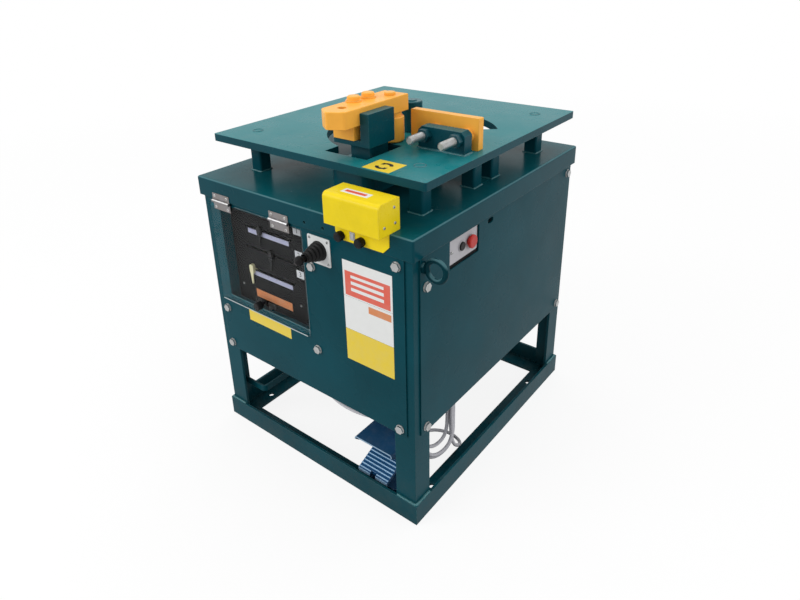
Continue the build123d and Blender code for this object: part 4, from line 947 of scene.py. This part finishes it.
FRONT_OUT, REAR_OUT, LEFT_OUT, RIGHT_OUT = (0, -1, 0), (0, 1, 0), (-1, 0, 0), (1, 0, 0)
HINGE_LENGTH = 56.0
HINGE_INSET_X, HINGE_INSET_Z = 8.0, 6.0
FRAME_LEAF_Y, DOOR_LEAF_Y = -336.5, -335.5
PLATE_INSET = 6.0
SWITCH_INSET = 8.0
DIAL_SCREWS = ((-222.0, 398.0), (-30.0, 402.0), (-236.0, 598.0), (-2.0, 598.0))
# 0 for the cover's front or 1 for its back, place from there, drop from the top
COVER_SCREWS = ((0, 14.0, 44.0), (1, -16.0, 14.0), (1, -14.0, 44.0))
CORNER_POSTS = ((-212.0, -220.0), (232.0, -220.0), (-212.0, 236.0), (232.0, 236.0))
SIDE_POSTS = ((236.0, -46.0), (236.0, 26.0))
BEAD_PITCH = 0.9


def screws(name, spots, **settings):
    """Screw heads on faces."""
    repeat_on_faces(name, SCREWS, spots, Height=1.6, Recess="print_black", **settings)


def beads(name, lines, radius):
    """Weld beads along runs of points."""
    repeat_along(name, BEADS, lines, Radius=radius, Pitch=radius * BEAD_PITCH, Finish="weld")


def make_screws():
    """The small screws of the hinges, the lever plate, the dial, the switch face and the cover."""
    (left, _, _), (right, _, head) = box_mm("hinge_frame_leaves")
    foot = box_mm("hinge_door_leaves")[0][Z]
    inner = HINGE_LENGTH - HINGE_INSET_X
    columns = (left + HINGE_INSET_X, left + inner, right - inner, right - HINGE_INSET_X)
    for name, body, y, z in (
        ("hinge_frame_screws", "cabinet", FRAME_LEAF_Y, head - HINGE_INSET_Z),
        ("hinge_door_screws", "door", DOOR_LEAF_Y, foot + HINGE_INSET_Z),
    ):
        spots = [((x, y, z), FRONT_OUT) for x in columns]
        screws(name, spots, Radius=3.4, Finish="bright_steel", body=body)

    (x0, y0, z0), (x1, _, z1) = box_mm("lever_plate")
    spots = [
        ((x, y0, z), FRONT_OUT)
        for x in (x0 + PLATE_INSET, x1 - PLATE_INSET)
        for z in (z0 + PLATE_INSET, z1 - PLATE_INSET)
    ]
    spots += [((x, -DIAL_FACE, z), FRONT_OUT) for x, z in DIAL_SCREWS]
    (_, y0, z0), (x1, y1, z1) = box_mm("switch_face")
    spots += [((x1, y, (z0 + z1) / 2), RIGHT_OUT) for y in (y0 + SWITCH_INSET, y1 - SWITCH_INSET)]
    plate = box_mm("cover_end")[1][X]
    cover = box_mm("switch_cover")
    spots += [((plate, cover[end][Y] + y, COVER_TOP - drop), RIGHT_OUT) for end, y, drop in COVER_SCREWS]
    screws("panel_screws", spots, Radius=3.0, Finish="zinc")


def panel_bolt_spots():
    """Seat and outward direction of each panel bolt, found from the bolts' own solids."""
    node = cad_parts["hex_bolts"]
    bm = bmesh.new()
    bm.from_mesh(node.data)
    bm.transform(node.matrix_world)
    bmesh.ops.remove_doubles(bm, verts=bm.verts, dist=1e-6)
    through = 1.0
    seats = {
        FRONT_OUT: (Y, -FRONT_FACE),
        REAR_OUT: (Y, box_mm("rear_panel")[1][Y]),
        LEFT_OUT: (X, box_mm("left_panel")[0][X]),
        RIGHT_OUT: (X, box_mm("right_panel")[1][X]),
    }
    spots, unseen = [], set(bm.verts)
    while unseen:
        island, rim = set(), [unseen.pop()]
        while rim:
            vert = rim.pop()
            island.add(vert)
            near = {edge.other_vert(vert) for edge in vert.link_edges} & unseen
            unseen -= near
            rim.extend(near)
        low, high = ([pick(vert.co[k] for vert in island) / MM for k in range(3)] for pick in (min, max))
        for out, (axis, seat) in seats.items():
            if low[axis] < seat - through and high[axis] > seat + through:
                point = [(a + b) / 2 for a, b in zip(low, high)]
                point[axis] = seat
                spots.append((tuple(point), out))
    bm.free()
    return sorted(spots)


def make_welds():
    """Beads where the legs meet the base, round the posts and their plugs, and at the fence bracket."""
    low, high = box_mm("corner_legs")
    rail = box_mm("base_rail_front")[1][Z]
    leg, outward = 45.0, 2.0
    ends_x, ends_y = (
        [(end[axis] + way * outward, end[axis] - way * leg) for end, way in ((low, -1), (high, 1))]
        for axis in (X, Y)
    )
    lines = [
        ((in_x, out_y, rail), (out_x, out_y, rail), (out_x, in_y, rail))
        for out_x, in_x in ends_x
        for out_y, in_y in ends_y
    ]
    beads("leg_welds", lines, radius=3.5)

    half = 16.0
    square = ((-half, -half), (half, -half), (half, half), (-half, half), (-half, -half))
    levels = box_mm("lid")[1][Z], box_mm("table")[0][Z]
    lines = [[(x + a, y + b, z) for a, b in square] for x, y in CORNER_POSTS + SIDE_POSTS for z in levels]
    beads("post_welds", lines, radius=2.4)

    plug, steps = 11.0, 24
    turn = [math.tau * k / steps for k in range(steps + 1)]
    circle = [(plug * math.cos(t), plug * math.sin(t)) for t in turn]
    lines = [[(x + a, y + b, TABLE_FACE) for a, b in circle] for x, y in CORNER_POSTS]
    beads("plug_welds", lines, radius=1.2)

    (x0, y0, _), (x1, y1, _) = box_mm("fence_bracket")
    line = [(x, y, TABLE_FACE) for x, y in ((x0, y1), (x0, y0), (x1, y0), (x1, y1))]
    beads("bracket_welds", [line], radius=3.4)


def make_threads():
    """Threads on the two bolts that set the fence."""
    (x0, tip, z0), (x1, head, z1) = box_mm("fence_bolts")
    rise = (z0 + z1) / 2
    radius, bare_tip, bare_head = 8.0, 2.0, 15.0
    columns = (x0 + radius, x1 - radius)
    lines = [((x, tip + bare_tip, rise), (x, head - bare_head, rise)) for x in columns]
    sizes = {"Radius": radius, "Ridge": 0.5, "Pitch": 2.0}
    repeat_along("bolt_threads", RINGS, lines, Finish="zinc", body="fence", **sizes)


make_screws()
repeat_on_faces("bolt_washers", WASHERS, panel_bolt_spots(), Radius=9.8, Thickness=1.6, Finish="zinc")
make_welds()
make_threads()


# Labels: plain fields of colour, with no words

INK = 0.1
FRONT_PRINTS = ("print_white", "print_red", "print_yellow", "print_orange")
FRONT_LABELS = (
    # left, right, foot, head, layers below it, colour
    (127.0, 248.0, 497.0, 575.0, 0, "print_white"),
    (132.0, 243.0, 500.0, 553.0, 1, "print_red"),
    (147.0, 228.0, 540.0, 546.0, 2, "print_white"),
    (147.0, 228.0, 526.0, 533.0, 2, "print_white"),
    (147.0, 228.0, 512.0, 519.0, 2, "print_white"),
    (127.0, 248.0, 422.5, 496.5, 0, "print_white"),
    (189.0, 244.0, 476.0, 491.0, 1, "print_orange"),
    (127.0, 248.0, 349.0, 422.0, 0, "print_yellow"),
    (-180.0, -41.0, 327.0, 356.0, 0, "print_yellow"),
)
TABLE_LABEL = (149.0, 212.0, -287.0, -233.0)
# left and right of the cover's middle, foot and head from its front edge
COVER_LABEL = ((-38, 24, 20, 38), (-32, 16, 25, 33))
SCALE_X, SCALE_FEET, SCALE_HIGH = (-183.0, -52.0), (540.0, 434.0), 11.0
FIGURE_X, FIGURE_Z = -24.0, {"1": 583.0, "2": 527.0, "3": 481.0}
TAG = (-178.0, -59.0, 378.0, 398.0)


def make_front_labels():
    """The column of three labels beside the window and the strip below it."""
    rows = [
        (*place, FRONT_FACE + below * LABEL_FILM, LABEL_FILM, FRONT_PRINTS.index(colour))
        for *place, below, colour in FRONT_LABELS
    ]
    tiles("front_labels", "front", FRONT_PRINTS, rows)


def arrow_ring(cx, cy, start, inner=10.0, outer=17.0, sweep=105.0, steps=14):
    """Outline of a bent arrow round a centre."""
    def at(radius, degrees):
        t = math.radians(degrees)
        return cx + radius * math.cos(t), cy + radius * math.sin(t)

    wider, past = 0.9, 1.32
    turn = [start + sweep * k / steps for k in range(steps + 1)]
    middle, wide = (inner + outer) / 2, (outer - inner) * wider
    head = [at(middle + wide, turn[-1]), at(middle, start + sweep * past), at(middle - wide, turn[-1])]
    return [at(outer, t) for t in turn] + head + [at(inner, t) for t in reversed(turn)]


def make_table_label():
    """The yellow square on the table, with two bent arrows for the way the head turns."""
    bm = bmesh.new()
    yellow, black = range(2)
    left, right, front, back = TABLE_LABEL
    tile(bm, "top", *TABLE_LABEL, TABLE_FACE, material=yellow)
    for start in (20.0, 200.0):
        arrow = arrow_ring((left + right) / 2, (front + back) / 2, start)
        prism(bm, "top", arrow, TABLE_FACE + LABEL_FILM, INK, black)
    finish_piece("table_label", bm, ("print_yellow", "print_black"))


def make_cover_label():
    """The white and red strip on top of the switch cover."""
    (x0, front, _), (x1, _, _) = box_mm("switch_cover")
    middle = (x0 + x1) / 2
    rows = [
        (middle + a0, middle + a1, front + b0, front + b1, COVER_TOP + k * LABEL_FILM, LABEL_FILM, k)
        for k, (a0, a1, b0, b1) in enumerate(COVER_LABEL)
    ]
    tiles("cover_label", "top", ("print_white", "print_red"), rows)


def figure(bm, digit, a, b, level, material, high=16.0, thick=0.2):
    """A plain figure on a front face, as a mesh."""
    text = bpy.data.curves.new("figure", "FONT")
    text.body = digit
    text.size = high
    text.align_x = text.align_y = "CENTER"
    text.extrude = thick / 2
    source = new_object("figure", text)
    bpy.context.view_layer.update()
    mesh = bpy.data.meshes.new_from_object(source.evaluated_get(bpy.context.evaluated_depsgraph_get()))
    turn = Matrix(PLANES["front"]).transposed().to_4x4()
    centre = face_point("front", a, b, level + thick / 2)
    mesh.transform(Matrix.Scale(MM, 4) @ Matrix.Translation(centre) @ turn)
    known = len(bm.faces)
    bm.from_mesh(mesh)
    bm.faces.ensure_lookup_table()
    for face in bm.faces[known:]:
        face.material_index = material
    bpy.data.objects.remove(source)


def make_dial_marks():
    """Figures, scale strips and the orange tag on the dial panel."""
    bm = bmesh.new()
    lilac, grey, black, orange = range(4)
    upper = DIAL_FACE + LABEL_FILM
    marks, first, step, wide, tall, taller, fifth = 26, 1.5, 5.1, 0.6, 3.0, 5.0, 5
    for foot in SCALE_FEET:
        head = foot + SCALE_HIGH
        tile(bm, "front", *SCALE_X, foot, head, DIAL_FACE, material=lilac)
        for k in range(marks):
            x = SCALE_X[0] + first + k * step
            tile(bm, "front", x, x + wide, head - (tall if k % fifth else taller), head, upper, INK, black)
    half_x, half_z = 11.0, 9.0
    for digit, z in FIGURE_Z.items():
        field = (FIGURE_X - half_x, FIGURE_X + half_x, z - half_z, z + half_z)
        tile(bm, "front", *field, DIAL_FACE, material=grey)
        figure(bm, digit, FIGURE_X, z, upper, black)
    tile(bm, "front", *TAG, DIAL_FACE, thick=0.6, material=orange)
    finish_piece("dial_marks", bm, ("print_lilac", "print_grey", "print_black", "print_orange"))


make_front_labels()
make_table_label()
make_cover_label()
make_dial_marks()


# Fittings

SMALL_PLATE = 1.2
CLIPS = {
    # name: level, plate, nose and how far the nose stands out
    "latch_catch": (DIAL_FACE, (-140.0, -118.0, 361.0, 373.0), (-132.0, -126.0, 361.0, 373.0), 6.0),
    "apron_clip": (APRON_FACE, (158.0, 170.0, 626.0, 642.0), (160.0, 168.0, 628.0, 640.0), 1.0),
}


def make_boot():
    """The lever's folded bellows, between its plate and the stick."""
    (x0, tip, z0), (x1, base, z1) = box_mm("lever_boot")
    axis_x, axis_z = (x0 + x1) / 2, (z0 + z1) / 2
    folds, steps = 5, 8
    base_r, tip_r, fold, wall, fold_falls, taper = 21.0, 8.6, 1.7, 1.4, 0.5, 1.25
    outside = []
    for k in range(folds * steps + 1):
        share = k / (folds * steps)
        ripple = fold * (1 - fold_falls * share) * math.cos(math.tau * folds * share)
        radius = base_r - fold + (tip_r - base_r + fold) * share ** taper + ripple
        outside.append((radius, (base - tip) * share))
    inside = [(radius - wall, height) for radius, height in reversed(outside)]
    bm = bmesh.new()
    turned_shape(bm, (axis_x, base, axis_z), FRONT_OUT, outside + inside + outside[:1])
    boot = finish_piece("boot_bellows", bm, ("rubber",), None, smooth=True)
    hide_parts("lever_boot")
    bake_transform(boot)


def make_knob_grips():
    """Ribbed rims round the cover's two thumb screws."""
    (x0, front, z0), (x1, _, z1) = box_mm("cover_knobs")
    radius, rise = (z1 - z0) / 2, (z0 + z1) / 2
    ribs, sunk, rib_front, rib_back = 20, 0.4, front + 2.0, front + 11.0
    lines = []
    for knob in (x0 + radius, x1 - radius):
        for k in range(ribs):
            t = math.tau * k / ribs
            x, z = knob + (radius - sunk) * math.cos(t), rise + (radius - sunk) * math.sin(t)
            lines.append(((x, rib_front, z), (x, rib_back, z)))
    repeat_along("knob_ribs", BEADS, lines, Radius=0.9, Pitch=1.1, Finish="black_plastic")


def make_clips():
    """The catch plate beside the latch, and the clip on the cover's apron."""
    for name, (level, plate, nose, proud) in CLIPS.items():
        rows = [(*plate, level, SMALL_PLATE), (*nose, level + SMALL_PLATE, proud)]
        tiles(name, "front", ("zinc",), rows)


def make_window_edges():
    """A painted highlight along the door sheet's lower edge, and another on the lip of the opening behind it.
    """
    (left, front, foot), (right, _, _) = box_mm("window_door")
    # a pale strip along the sheet's lower edge: a painted highlight
    corner, high, sunk, proud = 5.0, 2.0, 0.3, 0.15
    edge = (left + corner, right - corner, foot, foot + high, -front - sunk, sunk + proud)
    tiles("window_edge", "front", ("frosted_edge",), [edge], "door")
    # a lighter strip on the opening's lip, lit from above: a painted highlight
    left_in, right_in, foot_in, lip = 32.0, 3.0, 17.0, 1.5
    sill = (left + left_in, right - right_in, foot + foot_in - lip, foot + foot_in, FRONT_FACE, proud)
    tiles("opening_lip_highlight", "front", ("lip_teal",), [sill])


def make_switch_shade_plate():
    """A dark plate behind the gap below the push buttons, standing in for the shadow there: a painted shadow.
    """
    (_, front, foot), (_, back, _) = box_mm("switch_face")
    past, thick, clear = 8.0, 1.2, 0.4
    level = box_mm("right_panel")[0][X] - clear - thick
    plate = (front - past, back + past, foot - 2 * past, foot - clear, level, thick)
    tiles("switch_shade_plate", "right", ("dial_black",), [plate])


make_boot()
make_knob_grips()
make_clips()
make_window_edges()
make_switch_shade_plate()
